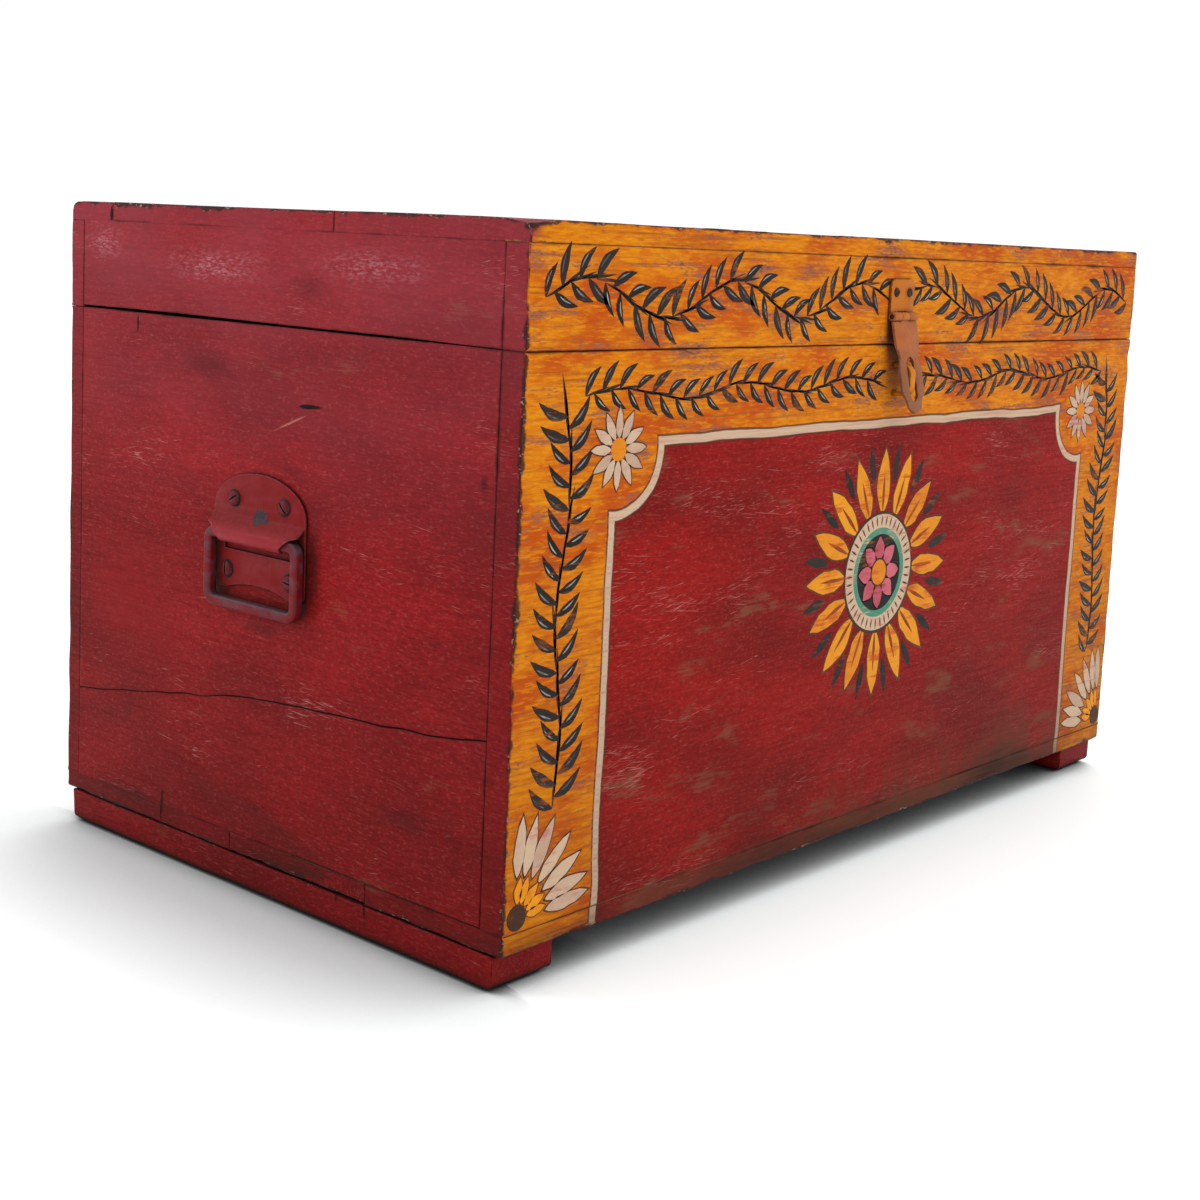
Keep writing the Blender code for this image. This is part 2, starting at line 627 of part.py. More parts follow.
def build_handle(side, x, turn, end_board, screw):
    """Stamped plate screwed to an end board, with the bail hanging in its trough."""
    out = BAIL_OUT if x > 0 else -BAIL_OUT
    height = WALL_LOW + HANDLE_RISE
    frame = add_frame(side + "_handle_frame", (x + out, (FRONT_Y + BACK_Y) / 2 + HANDLE_SETBACK,
                                               height), turn)
    name = side + "_handle_plate"
    level = FIT + HANDLE_SHEET / 2 - BAIL_OUT
    trough, root = trough_mesh(name + "_trough", level)
    plate = add_piece(name, outline_mesh(name, [plate_outline()], HANDLE_SHEET), RED_STEEL, frame,
                      (0, 0, level))
    window_top = root - 2 * HANDLE_SHEET
    half = PLATE_WIDTH / 2 - WINDOW_SIDE
    window = block_mesh(name, (-half, -WINDOW_DROP, -BAIL_OUT), (half, window_top, 0))
    combine(plate, add_cutter(name + "_window", window, frame), "DIFFERENCE")
    combine(plate, add_cutter(name + "_trough", trough, frame), "UNION")
    seat = level + HANDLE_SHEET / 2 + FIT
    rows = ((UPPER_SCREW_SIDE, UPPER_SCREW_RISE), (LOWER_SCREW_SIDE, -LOWER_SCREW_DROP))
    places = [(i * (PLATE_WIDTH / 2 - in_by), rise, seat) for in_by, rise in rows for i in (-1, 1)]
    for i, place in enumerate(places):
        drive_screw(f"{side}_handle_screw_{i + 1}", screw, frame, place, HANDLE_SCREW_SHANK,
                    HANDLE_SCREW_LENGTH, RED_STEEL, (plate, end_board))
    add_piece(side + "_handle_bail", bail_curve(side + "_handle_bail"), RED_STEEL, frame)


case = ring_of_boards("case_{}_board", WALL_LOW, WALL_HIGH, RED_PAINT, ORANGE_PAINT)
planks("bottom_plank_{}", (1, 2, 3, 4),
       (BOTTOM_FRONT_PLANK, BOTTOM_SECOND_PLANK, BOTTOM_THIRD_PLANK),
       BOTTOM_LOW, BOTTOM_LOW + BOTTOM_THICK, RED_PAINT)
runner("left_runner", LEFT_X)
runner("right_runner", RIGHT_X - RUNNER_WIDTH)

lid_axis = add_frame("lid_axis", (0, BACK_Y + HINGE_OUT, (WALL_HIGH + LID_LOW) / 2))
lid = ring_of_boards("lid_{}_rail", LID_LOW, RAIL_HIGH, RED_PAINT, ORANGE_PAINT, lid_axis)
planks("lid_top_{}_plank", ("front", "middle", "back"),
       (TOP_FRONT_PLANK, BOX_DEPTH - TOP_FRONT_PLANK - TOP_BACK_PLANK),
       TOP_LOW, TOP_HIGH, RED_PAINT, lid_axis)

build_hasp(lid["front"], lid_axis)
build_staple(case["front"])

handle_screw = screw_mesh("handle_screw", HANDLE_SCREW_HEAD, HANDLE_SCREW_CROWN,
                          HANDLE_SCREW_SHANK, HANDLE_SCREW_LENGTH)
build_handle("left", LEFT_X, LEFT_TURN, case["left"], handle_screw)
build_handle("right", RIGHT_X, RIGHT_TURN, case["right"], handle_screw)

hinge_screw = screw_mesh("hinge_screw", HINGE_SCREW_HEAD, HINGE_SCREW_CROWN, HINGE_SCREW_SHANK,
                         HINGE_SCREW_LENGTH)
build_hinge("left", LEFT_X + HINGE_INSET, case["back"], lid["back"], lid_axis, hinge_screw)
build_hinge("right", RIGHT_X - HINGE_INSET, case["back"], lid["back"], lid_axis, hinge_screw)
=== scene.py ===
# %% [markdown]
# # A painted wooden storage trunk
#
# The solids of the trunk come ready made, each board and fitting in its place. This script gives
# them their looks: worn arrises and cracks in the wood, old red and marigold paint, a garland
# painted on the front, chipped paint on the iron fittings. It loads the solids first.

import json
import math
from collections import Counter

import bmesh
import bpy
import numpy as np
from mathutils import Matrix, Vector

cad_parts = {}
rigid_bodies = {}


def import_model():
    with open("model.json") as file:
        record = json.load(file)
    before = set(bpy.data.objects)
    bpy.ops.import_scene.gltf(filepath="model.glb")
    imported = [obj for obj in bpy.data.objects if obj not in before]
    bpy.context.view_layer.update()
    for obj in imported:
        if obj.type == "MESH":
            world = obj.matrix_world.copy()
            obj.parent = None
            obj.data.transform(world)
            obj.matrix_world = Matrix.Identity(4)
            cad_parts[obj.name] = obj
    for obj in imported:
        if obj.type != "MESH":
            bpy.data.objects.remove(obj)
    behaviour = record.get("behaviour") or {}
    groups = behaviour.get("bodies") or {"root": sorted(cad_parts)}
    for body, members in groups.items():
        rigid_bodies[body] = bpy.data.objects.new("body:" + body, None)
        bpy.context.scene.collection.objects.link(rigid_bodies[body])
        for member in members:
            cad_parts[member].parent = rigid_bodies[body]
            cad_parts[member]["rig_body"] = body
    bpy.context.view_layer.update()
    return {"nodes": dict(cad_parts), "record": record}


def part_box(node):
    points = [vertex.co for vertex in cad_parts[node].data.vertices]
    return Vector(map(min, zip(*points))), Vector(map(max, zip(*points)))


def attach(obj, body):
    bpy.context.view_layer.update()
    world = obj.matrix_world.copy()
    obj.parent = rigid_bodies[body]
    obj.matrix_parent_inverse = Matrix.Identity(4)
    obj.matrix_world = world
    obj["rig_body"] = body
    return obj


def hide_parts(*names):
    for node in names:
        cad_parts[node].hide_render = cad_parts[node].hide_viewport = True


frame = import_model()

# %% [markdown]
# ## Small tools
#
# Paint charts and screens give colours as sRGB hex values, and a shader counts in linear light,
# so one function turns the first into the second. Node trees are built in code here, because a
# script can be read and changed. Another function adds one node, sets it and links it, and gives
# back the output that the next node needs. The rest make meshes and put things in the scene:
# anything at all, or a finished piece in the stead of the solids that it dresses.


# %% Colours and nodes
def paint_chip(code):
    """Linear colour of an sRGB hex value such as "#8A1C20"."""
    parts = [int(code[i:i + 2], 16) / 255 for i in (1, 3, 5)]
    return [p / 12.92 if p <= 0.04045 else ((p + 0.055) / 1.055) ** 2.4 for p in parts] + [1]


def add(tree, kind, inputs=None, out=0, **settings):
    """Adds a node, sets it up, links or fills its inputs, and returns one of its outputs.

    kind is the node's type, and one without the word Node in it is a shader's.
    """
    node = tree.nodes.new(kind if "Node" in kind else "ShaderNode" + kind)
    for name, value in settings.items():
        setattr(node, name, value)
    for key, value in (inputs or {}).items():
        if isinstance(value, bpy.types.NodeSocket):
            tree.links.new(value, node.inputs[key])
        else:
            node.inputs[key].default_value = value
    return node.outputs[out] if len(node.outputs) else node


def new_material(name):
    """Empty node material."""
    material = bpy.data.materials.new(name)
    material.use_nodes = True
    material.node_tree.nodes.clear()
    return material


print("old red paint in linear light:", [round(c, 3) for c in paint_chip("#8A1C20")])

# %% Meshes and pieces
slot_of = {s["node"]: s["material_slot"] for s in frame["record"]["subparts"]}


def new_mesh(name, points, edges=(), faces=()):
    """Mesh of points, edges and faces."""
    mesh = bpy.data.meshes.new(name)
    mesh.from_pydata(points, edges, faces)
    return mesh


def from_shape(name, shape):
    """Mesh of a shape in the bmesh editor, which is then let go."""
    mesh = bpy.data.meshes.new(name)
    shape.to_mesh(mesh)
    shape.free()
    return mesh


def settled(thing):
    """Plain mesh of an object with its modifiers worked out."""
    depsgraph = bpy.context.evaluated_depsgraph_get()
    return bpy.data.meshes.new_from_object(thing.evaluated_get(depsgraph), depsgraph=depsgraph)


def set_out(name, data):
    """Object in the scene that holds a mesh, a lamp or a camera."""
    thing = bpy.data.objects.new(name, data)
    bpy.context.scene.collection.objects.link(thing)
    return thing


def place_piece(name, mesh, node, *more):
    """Puts a finished mesh in the scene in the stead of one or more solids of one body."""
    piece = set_out(name, mesh)
    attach(piece, frame["nodes"][node]["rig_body"])
    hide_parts(node, *more)
    return piece


print("finishes and how many solids have each:", Counter(slot_of.values()))

# %% [markdown]
# ## Old paint is mostly grain
#
# Brushed paint on a planed board shows the wood under it: long streaks where it lies thin, pores
# that it never filled, and scratches and bare places that run along the grain. All of these are
# noise that is drawn out along the board. One function gives such noise, with the length and
# width of its marks in millimetres, so that each layer keeps a real size. The finest pores of the
# wood, 0.3 mm wide, would not show in a picture of the whole trunk, so they are drawn 1 mm wide.
# A coat of paint is then a tint that is laid on where such a number is high enough, and a mark with
# a place of its own is an ellipse, which a Mapping node of the texture kind brings to a unit circle.


# %% Noise along the grain, ellipses and layers
ALONG_X, ALONG_Y, ALONG_Z = 0, 1, 2
BOARD_NORMAL = {ALONG_X: (0, 1, 0), ALONG_Y: (1, 0, 0)}


def millimetres(tree):
    """Object coordinates in millimetres."""
    place = add(tree, "TexCoord", out="Object")
    return add(tree, "VectorMath", {0: place, 1: (1000, 1000, 1000)}, operation="MULTIPLY")


def grain_noise(tree, mm, grain, length, width, seed, detail=3.0):
    """Noise from 0 to 1 whose marks are about so long along the grain and so wide across it."""
    scale = [1 / width] * 3
    scale[grain] = 1 / length
    spot = add(tree, "Mapping", {"Vector": mm, "Scale": scale,
                                 "Location": (7.3 * seed, 3.1 * seed, 5.7 * seed)})
    return add(tree, "TexNoise", {"Vector": spot, "Scale": 1.0, "Detail": detail, "Roughness": 0.55})


def ellipse(tree, mm, place, size, tilt=0.0):
    """Distance from a place, with 1 at the edge of an ellipse of these half sizes in millimetres."""
    spot = add(tree, "Mapping", {"Vector": mm, "Location": place, "Scale": size,
                                 "Rotation": (math.radians(tilt), 0, 0)}, vector_type="TEXTURE")
    return add(tree, "VectorMath", {0: spot}, "Value", operation="LENGTH")


def laid_on(tree, colour, tint, value, start, full, most=1.0, smooth=False):
    """Colour with a tint laid on it: none where the value is at start, most where it is at full."""
    share = add(tree, "MapRange", {"Value": value, 1: start, 2: full, 4: most},
                interpolation_type="SMOOTHSTEP" if smooth else "LINEAR")
    return add(tree, "Mix", {0: share, 6: colour, 7: tint}, 2, data_type="RGBA")


def dry(tree, colour, rough, height, relief, depth, shine, **more):
    """Ends a material: a surface that shines so much, with a relief so many metres deep."""
    bump = add(tree, "Bump", {"Strength": relief, "Distance": depth, "Height": height})
    surface = add(tree, "BsdfPrincipled", {
        "Base Color": colour, "Roughness": rough, "Normal": bump, "Specular IOR Level": shine, **more})
    add(tree, "OutputMaterial", {"Surface": surface})


# %% [markdown]
# ## Red paint
#
# The ends, back and top have one thin coat of oil paint, a red that has gone towards crimson. It
# is darker where the brush left more of it, paler in scratches, and brown where hands have rubbed
# it down to the wood. The function returns colour, roughness and height, and leaves the shader
# for later, because the front uses the same red beside its other colours.


# %% Layers of the red paint
COOL_RED = (paint_chip("#6C080C"), paint_chip("#860E12"))
WARM_RED = (paint_chip("#6E0905"), paint_chip("#8A0D07"))
RED_SHADE = paint_chip("#4A090C")
RED_CHALKY = paint_chip("#A4605A")
RED_HIGH_UP = paint_chip("#863640")
RUBBED_WOOD = paint_chip("#744432")
GRIME_AND_SHADE = paint_chip("#2E1610")
END_WEAR, FRONT_WEAR = (0.055, 0.0), (0.080, 0.084)
PALER_FROM, PALEST_AT = 240, 470
DRUNK_IN = 0.28


def red_paint(tree, mm, grain, tints, scratches, rubs):
    """Colour, roughness and height of red paint, with more scratches and rubs for higher values."""
    broad = grain_noise(tree, mm, grain, 150, 60, 1, 4)
    streak = grain_noise(tree, mm, grain, 70, 2.2, 2, 4)
    pores = grain_noise(tree, mm, grain, 9, 1.1, 3, 3)
    speckle = grain_noise(tree, mm, grain, 3.2, 1.6, 11, 2)
    worn_area = grain_noise(tree, mm, grain, 120, 40, 5, 4)
    rubbed_area = grain_noise(tree, mm, grain, 70, 26, 6, 4)

    colour = laid_on(tree, tints[0], tints[1], broad, 0.36, 0.62)
    colour = laid_on(tree, colour, RED_SHADE, streak, 0.50, 0.75, 0.30)
    for marks, dark, pale in ((pores, 0.42, 0.14), (speckle, 0.42, 0.20)):
        colour = laid_on(tree, colour, RED_SHADE, marks, 0.50, 0.70, dark)
        colour = laid_on(tree, colour, RED_CHALKY, marks, 0.42, 0.26, pale)

    ragged = add(tree, "Math", {0: streak, 1: 0.30, 2: rubbed_area}, operation="MULTIPLY_ADD")
    ragged = add(tree, "Math", {0: pores, 1: 0.25, 2: ragged}, operation="MULTIPLY_ADD")
    rubbed = add(tree, "MapRange", {"Value": ragged, 1: 0.945 - rubs, 2: 1.07 - rubs, 4: 0.75},
                 interpolation_type="SMOOTHSTEP")
    colour = add(tree, "Mix", {0: rubbed, 6: colour, 7: RUBBED_WOOD}, 2, data_type="RGBA")
    for tilt, length, seed in ((0, 13, 4), (12, 18, 13), (-7, 30, 14)):
        turned = add(tree, "VectorRotate", {"Vector": mm, "Axis": BOARD_NORMAL[grain],
                                            "Angle": math.radians(tilt)})
        scratch = grain_noise(tree, turned, grain, length, 0.9, seed, 2)
        crowded = add(tree, "Math", {0: worn_area, 1: 0.65, 2: scratch}, operation="MULTIPLY_ADD")
        scuffed = add(tree, "MapRange", {"Value": crowded, 1: 1.13 - scratches,
                                         2: 1.20 - scratches, 4: 0.75})
        colour = add(tree, "Mix", {0: scuffed, 6: colour, 7: RED_CHALKY}, 2, data_type="RGBA")

    height = add(tree, "Math", {0: pores, 1: 0.6, 2: streak}, operation="MULTIPLY_ADD")
    height = add(tree, "Math", {0: scuffed, 1: -0.4, 2: height}, operation="MULTIPLY_ADD")
    rough = add(tree, "MapRange", {"Value": streak, 1: 0.3, 2: 0.7, 3: 0.46, 4: 0.62})
    rough = add(tree, "Math", {0: rubbed, 1: 0.2, 2: rough}, operation="MULTIPLY_ADD")
    return colour, rough, height


# %% Reds of the ends, the back and the top
def cool_red(tree, mm, grain):
    """The red of the ends, back and top, which turns paler and more violet higher up."""
    colour, rough, height = red_paint(tree, mm, grain, COOL_RED, *END_WEAR)
    level = add(tree, "SeparateXYZ", {0: mm}, "Z")
    patch = grain_noise(tree, mm, grain, 130, 45, 10, 4)
    # The paint turns paler and more violet towards the top
    share = add(tree, "MapRange", {"Value": level, 1: PALER_FROM, 2: PALEST_AT, 4: 0.9})
    share = add(tree, "Math", {0: share, 1: patch}, operation="MULTIPLY")
    colour = add(tree, "Mix", {0: share, 6: colour, 7: RED_HIGH_UP}, 2, data_type="RGBA")
    return colour, rough, height


def end_grain_red(tree, mm, grain):
    """The same red on the sawn ends of the boards, which drink the paint and stay darker."""
    colour, rough, height = cool_red(tree, mm, grain)
    colour = add(tree, "Mix", {0: DRUNK_IN, 6: colour, 7: RED_SHADE}, 2, data_type="RGBA")
    return colour, rough, height


# %% [markdown]
# ## Edges, cracks, dirt and painted shade
#
# Paint goes first at the arrises, the corners where two faces of a board meet. The board meshes
# below carry three numbers in each point: how far the nearest open arris is, how far the nearest
# seam against another board, and whether the point lies in a crack. The shader reads them as
# attributes, breaks the distances up with noise, and shows dark bare wood there. Dirt gathers near
# the floor, which is a matter of height alone, and the paint also turns darker towards the bottom.
# Hollows, which the Ambient Occlusion node finds, are darkened with painted shade.


# %% Wear and painted shade over any paint, and the shader
BARE_EDGE = paint_chip("#2C1A18")
BARE_CHIP = paint_chip("#8A7464")
CRACK_DARK = paint_chip("#0E0706")
DIRTY_FROM, DIRTIEST_AT = 80, 25
DULL_FROM, DULLEST_AT = 300, 40
PAINTED_SHADE_REACH = 0.016
OIL_PAINT_IOR = 1.48


def worn_wood(name, grain, paint, floor_dirt=0.26, arris_wear=9.4):
    """Material of a painted board: its paint, worn at arrises and cracks, darker and dirty low down, with
    painted shade in hollows.
    """
    material = new_material(name)
    tree = material.node_tree
    mm = millimetres(tree)
    colour, rough, height = paint(tree, mm, grain)

    level = add(tree, "SeparateXYZ", {0: mm}, "Z")
    dirt = grain_noise(tree, mm, grain, 150, 40, 7, 4)
    # Darker towards the bottom, from DULL_FROM down to DULLEST_AT
    colour = laid_on(tree, colour, GRIME_AND_SHADE, level, DULL_FROM, DULLEST_AT, 0.22)
    share = add(tree, "MapRange", {"Value": level, 1: DIRTY_FROM, 2: DIRTIEST_AT, 4: floor_dirt})
    dirt = add(tree, "Math", {0: dirt, 1: share}, operation="ADD")
    colour = laid_on(tree, colour, GRIME_AND_SHADE, dirt, 0.62, 0.98, 0.8, smooth=True)
    # Painted shade: hollows that the Ambient Occlusion node finds are darkened
    hollow = add(tree, "AmbientOcclusion", {"Distance": PAINTED_SHADE_REACH}, "AO", samples=4)
    colour = laid_on(tree, colour, GRIME_AND_SHADE, hollow, 0.78, 0.30, 0.95)

    nibble = grain_noise(tree, mm, grain, 12, 7, 8, 6)
    seam = add(tree, "Attribute", out="Fac", attribute_name="seam_mm")
    tight = grain_noise(tree, mm, grain, 55, 55, 12, 3)
    ragged = add(tree, "Math", {0: nibble, 1: 2.0, 2: seam}, operation="MULTIPLY_ADD")
    ragged = add(tree, "Math", {0: tight, 1: 6.0, 2: ragged}, operation="MULTIPLY_ADD")
    colour = laid_on(tree, colour, CRACK_DARK, ragged, 5.2, 3.0, 0.85)
    arris = add(tree, "Attribute", out="Fac", attribute_name="arris_mm")
    ragged = add(tree, "Math", {0: nibble, 1: 9.0, 2: arris}, operation="MULTIPLY_ADD")
    ragged = add(tree, "Math", {0: tight, 1: 9.0, 2: ragged}, operation="MULTIPLY_ADD")
    chip = grain_noise(tree, mm, grain, 5, 3, 9, 3)
    bare = add(tree, "MapRange", {"Value": ragged, 1: arris_wear + 2.4, 2: arris_wear, 4: 0.9},
               interpolation_type="SMOOTHSTEP")
    colour = add(tree, "Mix", {0: bare, 6: colour, 7: BARE_EDGE}, 2, data_type="RGBA")
    chipped = add(tree, "MapRange", {"Value": chip, 1: 0.60, 2: 0.66})
    chipped = add(tree, "Math", {0: chipped, 1: bare}, operation="MULTIPLY")
    colour = add(tree, "Mix", {0: chipped, 6: colour, 7: BARE_CHIP}, 2, data_type="RGBA")

    crack = add(tree, "Attribute", out="Fac", attribute_name="crack")
    colour = laid_on(tree, colour, CRACK_DARK, crack, 0.12, 0.45)

    dry(tree, colour, rough, height, relief=0.55, depth=0.0006, shine=0.06, IOR=OIL_PAINT_IOR)
    return material


# Brushed oil paint on planed boards: a dull sheen, streaks along the grain, pale scratches
red_length = worn_wood("red_oil_paint_on_lengthwise_boards", ALONG_X, cool_red)
red_ends = worn_wood("red_oil_paint_on_end_boards", ALONG_Y, cool_red)
print("red materials:", red_length.name, red_ends.name)

# %% [markdown]
# ## Marks with a place of their own
#
# Noise makes the wear that is everywhere. The left side also has marks that are nowhere else: a knot
# that has opened, a scratch below it, a notch under the lid, stains, painted shadow beside and below
# the handle, scuffs on the lid's rail and joints that gape. Each is an ellipse with a place, a size
# and a tilt, whose edge is broken up by noise. A scuff is an ellipse full of fine scratches.

# %% The left side's marks
STAIN_AND_SHADOW = paint_chip("#3C0E10")
SCUFF = paint_chip("#A86C74")
SHARP_MARKS = (CRACK_DARK, RED_CHALKY)
LEFT_SIDE = 1000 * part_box("case_left_board")[0].x
MARK_DEPTH = 60
# Each mark: y, z, half length and half height in mm, tilt in degrees, colour, strength
BASE_JOINTS = (
    (120, 42, 2.4, 13, 8, CRACK_DARK, 0.80),
    (-77, 29, 2.6, 14, 4, CRACK_DARK, 0.75),
    (-104, 27, 2.2, 13, -6, CRACK_DARK, 0.80),
)
TOP_JOINT = ((193, 470, 2.2, 9, 4, CRACK_DARK, 0.95),)
END_MARKS = (
    (70, 368, 42, 17, 4, STAIN_AND_SHADOW, 0.45),
    (-142, 92, 44, 15, -6, STAIN_AND_SHADOW, 0.50),
    (-222, 190, 80, 190, 0, STAIN_AND_SHADOW, 0.30),
    (165, 190, 95, 75, 0, COOL_RED[1], 0.60),
    (-201, 318, 5, 10, 0, STAIN_AND_SHADOW, 0.75),
    # Painted shadow beside the handle's plate and under its bail
    (-44, 244, 11, 52, 0, STAIN_AND_SHADOW, 0.75),
    (6, 192, 38, 8, -4, STAIN_AND_SHADOW, 0.55),
    (-22, 304, 26, 9, 16, STAIN_AND_SHADOW, 0.40),
    (158, 392, 1.6, 9, 0, CRACK_DARK, 0.90),
    (-36, 349, 16, 1.7, -3, CRACK_DARK, 0.95),
    (-34, 349, 10, 2.2, -4, CRACK_DARK, 0.90),
    (-18, 337, 20, 1.1, -22, RED_CHALKY, 0.70),
    (60, 205, 26, 1.1, -9, RED_CHALKY, 0.45),
)
LID_MARKS = (
    (200, 450, 30, 18, 0, SCUFF, 0.70),
    (70, 438, 84, 18, 0, SCUFF, 0.75),
    (-95, 443, 76, 18, 0, SCUFF, 0.60),
    (-35, 428, 28, 14, 0, STAIN_AND_SHADOW, 0.40),
)


def marked(paint, marks):
    """Paint with marks of its own on the left side of the trunk."""
    def marked_paint(tree, mm, grain):
        colour, rough, height = paint(tree, mm, grain)
        blur = grain_noise(tree, mm, grain, 16, 7, 71, 4)
        fine = grain_noise(tree, mm, grain, 4.5, 1.2, 72, 5)
        fine = add(tree, "MapRange", {"Value": fine, 1: 0.46, 2: 0.66})
        for y, z, long, high, tilt, shade, strength in marks:
            far = ellipse(tree, mm, (LEFT_SIDE, y, z), (MARK_DEPTH, long, high), tilt)
            far = add(tree, "Math", {0: blur, 1: 0.9, 2: far}, operation="MULTIPLY_ADD")
            soft = 0.4 if shade in SHARP_MARKS else 1.0
            share = add(tree, "MapRange", {"Value": far, 1: 1.4, 2: 1.4 - soft, 4: strength},
                        interpolation_type="SMOOTHSTEP")
            if shade == SCUFF:
                share = add(tree, "Math", {0: share, 1: fine}, operation="MULTIPLY")
            colour = add(tree, "Mix", {0: share, 6: colour, 7: shade}, 2, data_type="RGBA")
        return colour, rough, height
    return marked_paint


# The same oil paint with marks of its own: dark stains, painted shadow by the handle, chalky scuffs, black
# joints that gape
red_left_end, red_lid_left, red_case_grain, red_lid_grain = (
    worn_wood("red_oil_paint_on_the_" + place, ALONG_Y, marked(paint, marks)) for place, paint, marks in (
        ("left_end_board", cool_red, END_MARKS + BASE_JOINTS), ("left_lid_rail", cool_red, LID_MARKS),
        ("case_end_grain", end_grain_red, BASE_JOINTS), ("lid_end_grain", cool_red, TOP_JOINT)))
print("marks on the left side:", len(END_MARKS + LID_MARKS + TOP_JOINT + BASE_JOINTS))

# %% [markdown]
# ## Boards
#
# A plain box has perfect faces and knife edges, and no old board has either. Each board is made
# again as a fine lattice over the same box, cut closely near its arrises. Every point near an
# arris is then pulled onto a rounded one, whose radius wanders along the edge: less than a
# millimetre where a neighbour protects it, about two where hands and floors have worn it.
# A board could also be bevelled by a modifier, but a modifier rounds every edge alike.


# %% Lattice over a box
ARRIS_CUTS = np.array((0, 0.0005, 0.0012, 0.0022, 0.0038, 0.0065))
BOARD_CELL = 0.007


def ripple(points, size, seed):
    """Smooth seeded variation from about -1 to 1, with bumps of about that size."""
    chance = np.random.default_rng(seed)
    waves = chance.normal(size=(9, 3)) * 2.4 / np.asarray(size)
    return np.sin(points @ waves.T + chance.uniform(0, math.tau, 9)).sum(1) / 4


def cuts(low, high, extra):
    """Places of the cuts across a board: close near its arrises and cracks, even between them."""
    close = ARRIS_CUTS[ARRIS_CUTS < (high - low) / 2 - 0.0002]
    steps = max(2, round((high - low - 2 * close[-1]) / BOARD_CELL))
    even = np.linspace(low + close[-1], high - close[-1], steps + 1)[1:-1]
    for place in extra:
        even = even[np.abs(even - place) > 0.0015]
    return np.sort(np.concatenate([low + close, even, high - close, extra]))


def box_lattice(lines):
    """Points, outward quads and lattice places of a box's surface, with shared corners."""
    counts = [len(line) for line in lines]
    quads = []
    for axis in range(3):
        u, v = (axis + 1) % 3, (axis + 2) % 3
        i, j = np.meshgrid(np.arange(counts[u] - 1), np.arange(counts[v] - 1), indexing="ij")
        for side, turn in ((0, ((0, 0), (0, 1), (1, 1), (1, 0))), (1, ((0, 0), (1, 0), (1, 1), (0, 1)))):
            quad = np.zeros(i.shape + (4, 3), int)
            quad[..., axis] = side * (counts[axis] - 1)
            for corner, (du, dv) in enumerate(turn):
                quad[..., corner, u] = i + du
                quad[..., corner, v] = j + dv
            quads.append(quad.reshape(-1, 4, 3))
    keys = np.concatenate(quads) @ (counts[1] * counts[2], counts[2], 1)
    used, faces = np.unique(keys, return_inverse=True)
    places = np.stack(np.unravel_index(used, counts), 1)
    points = np.stack([lines[axis][places[:, axis]] for axis in range(3)], 1)
    return points, faces.reshape(-1, 4), places


# %% [markdown]
# ## Wear on the lattice
#
# Which arrises are worn depends on where they are: an edge on the outside of the case or the lid
# is open to knocks, and an edge against a neighbour is not. A crack gets rows of its own in the
# lattice. They are bent to follow it, and the middle row is pushed into the wood, which gives a
# real groove with few faces. A knock is a dent with a place, a reach and a push. A few arrises are
# bold: they are rounded once more, with a radius of their own.

# %% Rounded arrises
WORN_ARRIS = 0.0019
TIGHT_ARRIS = 0.0007
ROUNDEST = 0.42
ARRIS_REACH = 30


def rounded(points, low, high, outer, bold, seed):
    """Points of a box pulled onto worn arrises, with millimetres to the nearest arris and seam."""
    to_low, to_high = points - low, high - points
    gap = np.minimum(to_low, to_high)
    side = (to_high < to_low).astype(int)
    order = np.argsort(gap, 1)
    rows = np.arange(len(points))
    first, second = order[:, 0], order[:, 1]
    arris = gap[rows, second]
    is_open = outer[first, side[rows, first]] & outer[second, side[rows, second]]
    wander = 1 + 0.5 * ripple(points, 0.05, seed) + 0.4 * ripple(points, 0.013, seed + 1)
    chip = np.clip(ripple(points, 0.022, seed + 2) - 0.9, 0, 1) * 0.004
    radius = np.where(is_open, WORN_ARRIS * wander + chip, TIGHT_ARRIS * (0.7 + 0.3 * wander))
    radius = np.clip(radius, 0.0003, ROUNDEST * (high - low).min())[:, None]
    core = np.clip(points, low + radius, high - radius)
    away = points - core
    reach = np.linalg.norm(away, axis=1)[:, None]
    points = core + away / np.maximum(reach, 1e-9) * radius
    for (axis_a, side_a), (axis_b, side_b), size in bold:
        pair, ways = [axis_a, axis_b], np.array((2 * side_a - 1, 2 * side_b - 1))
        edge = np.array(((low, high)[side_a][axis_a], (low, high)[side_b][axis_b]))
        bend = size * (0.9 + 0.1 * wander)[:, None]
        away = np.maximum(ways * (points[:, pair] - edge) + bend, 0)
        reach = np.linalg.norm(away, axis=1)[:, None]
        points[:, pair] += ways * away * (np.minimum(1, bend / np.maximum(reach, 1e-9)) - 1)
    seam = np.where(is_open, ARRIS_REACH, 1000 * arris)
    arris = np.where(is_open, 1000 * arris, ARRIS_REACH)
    return points, arris, seam, first, side[rows, first]


# %% Worn boards
CLOSED_BY = 0.0003
CRACK_ROWS = np.array((-0.009, -0.003, -0.0008, 0, 0.0008, 0.003, 0.009))
CRACK_FADE = 0.11
CRACK_WANDER = 0.0006
BOARD_WAVE = 0.0003
SAME_PLANE, ON_FACE = 0.001, 0.0006


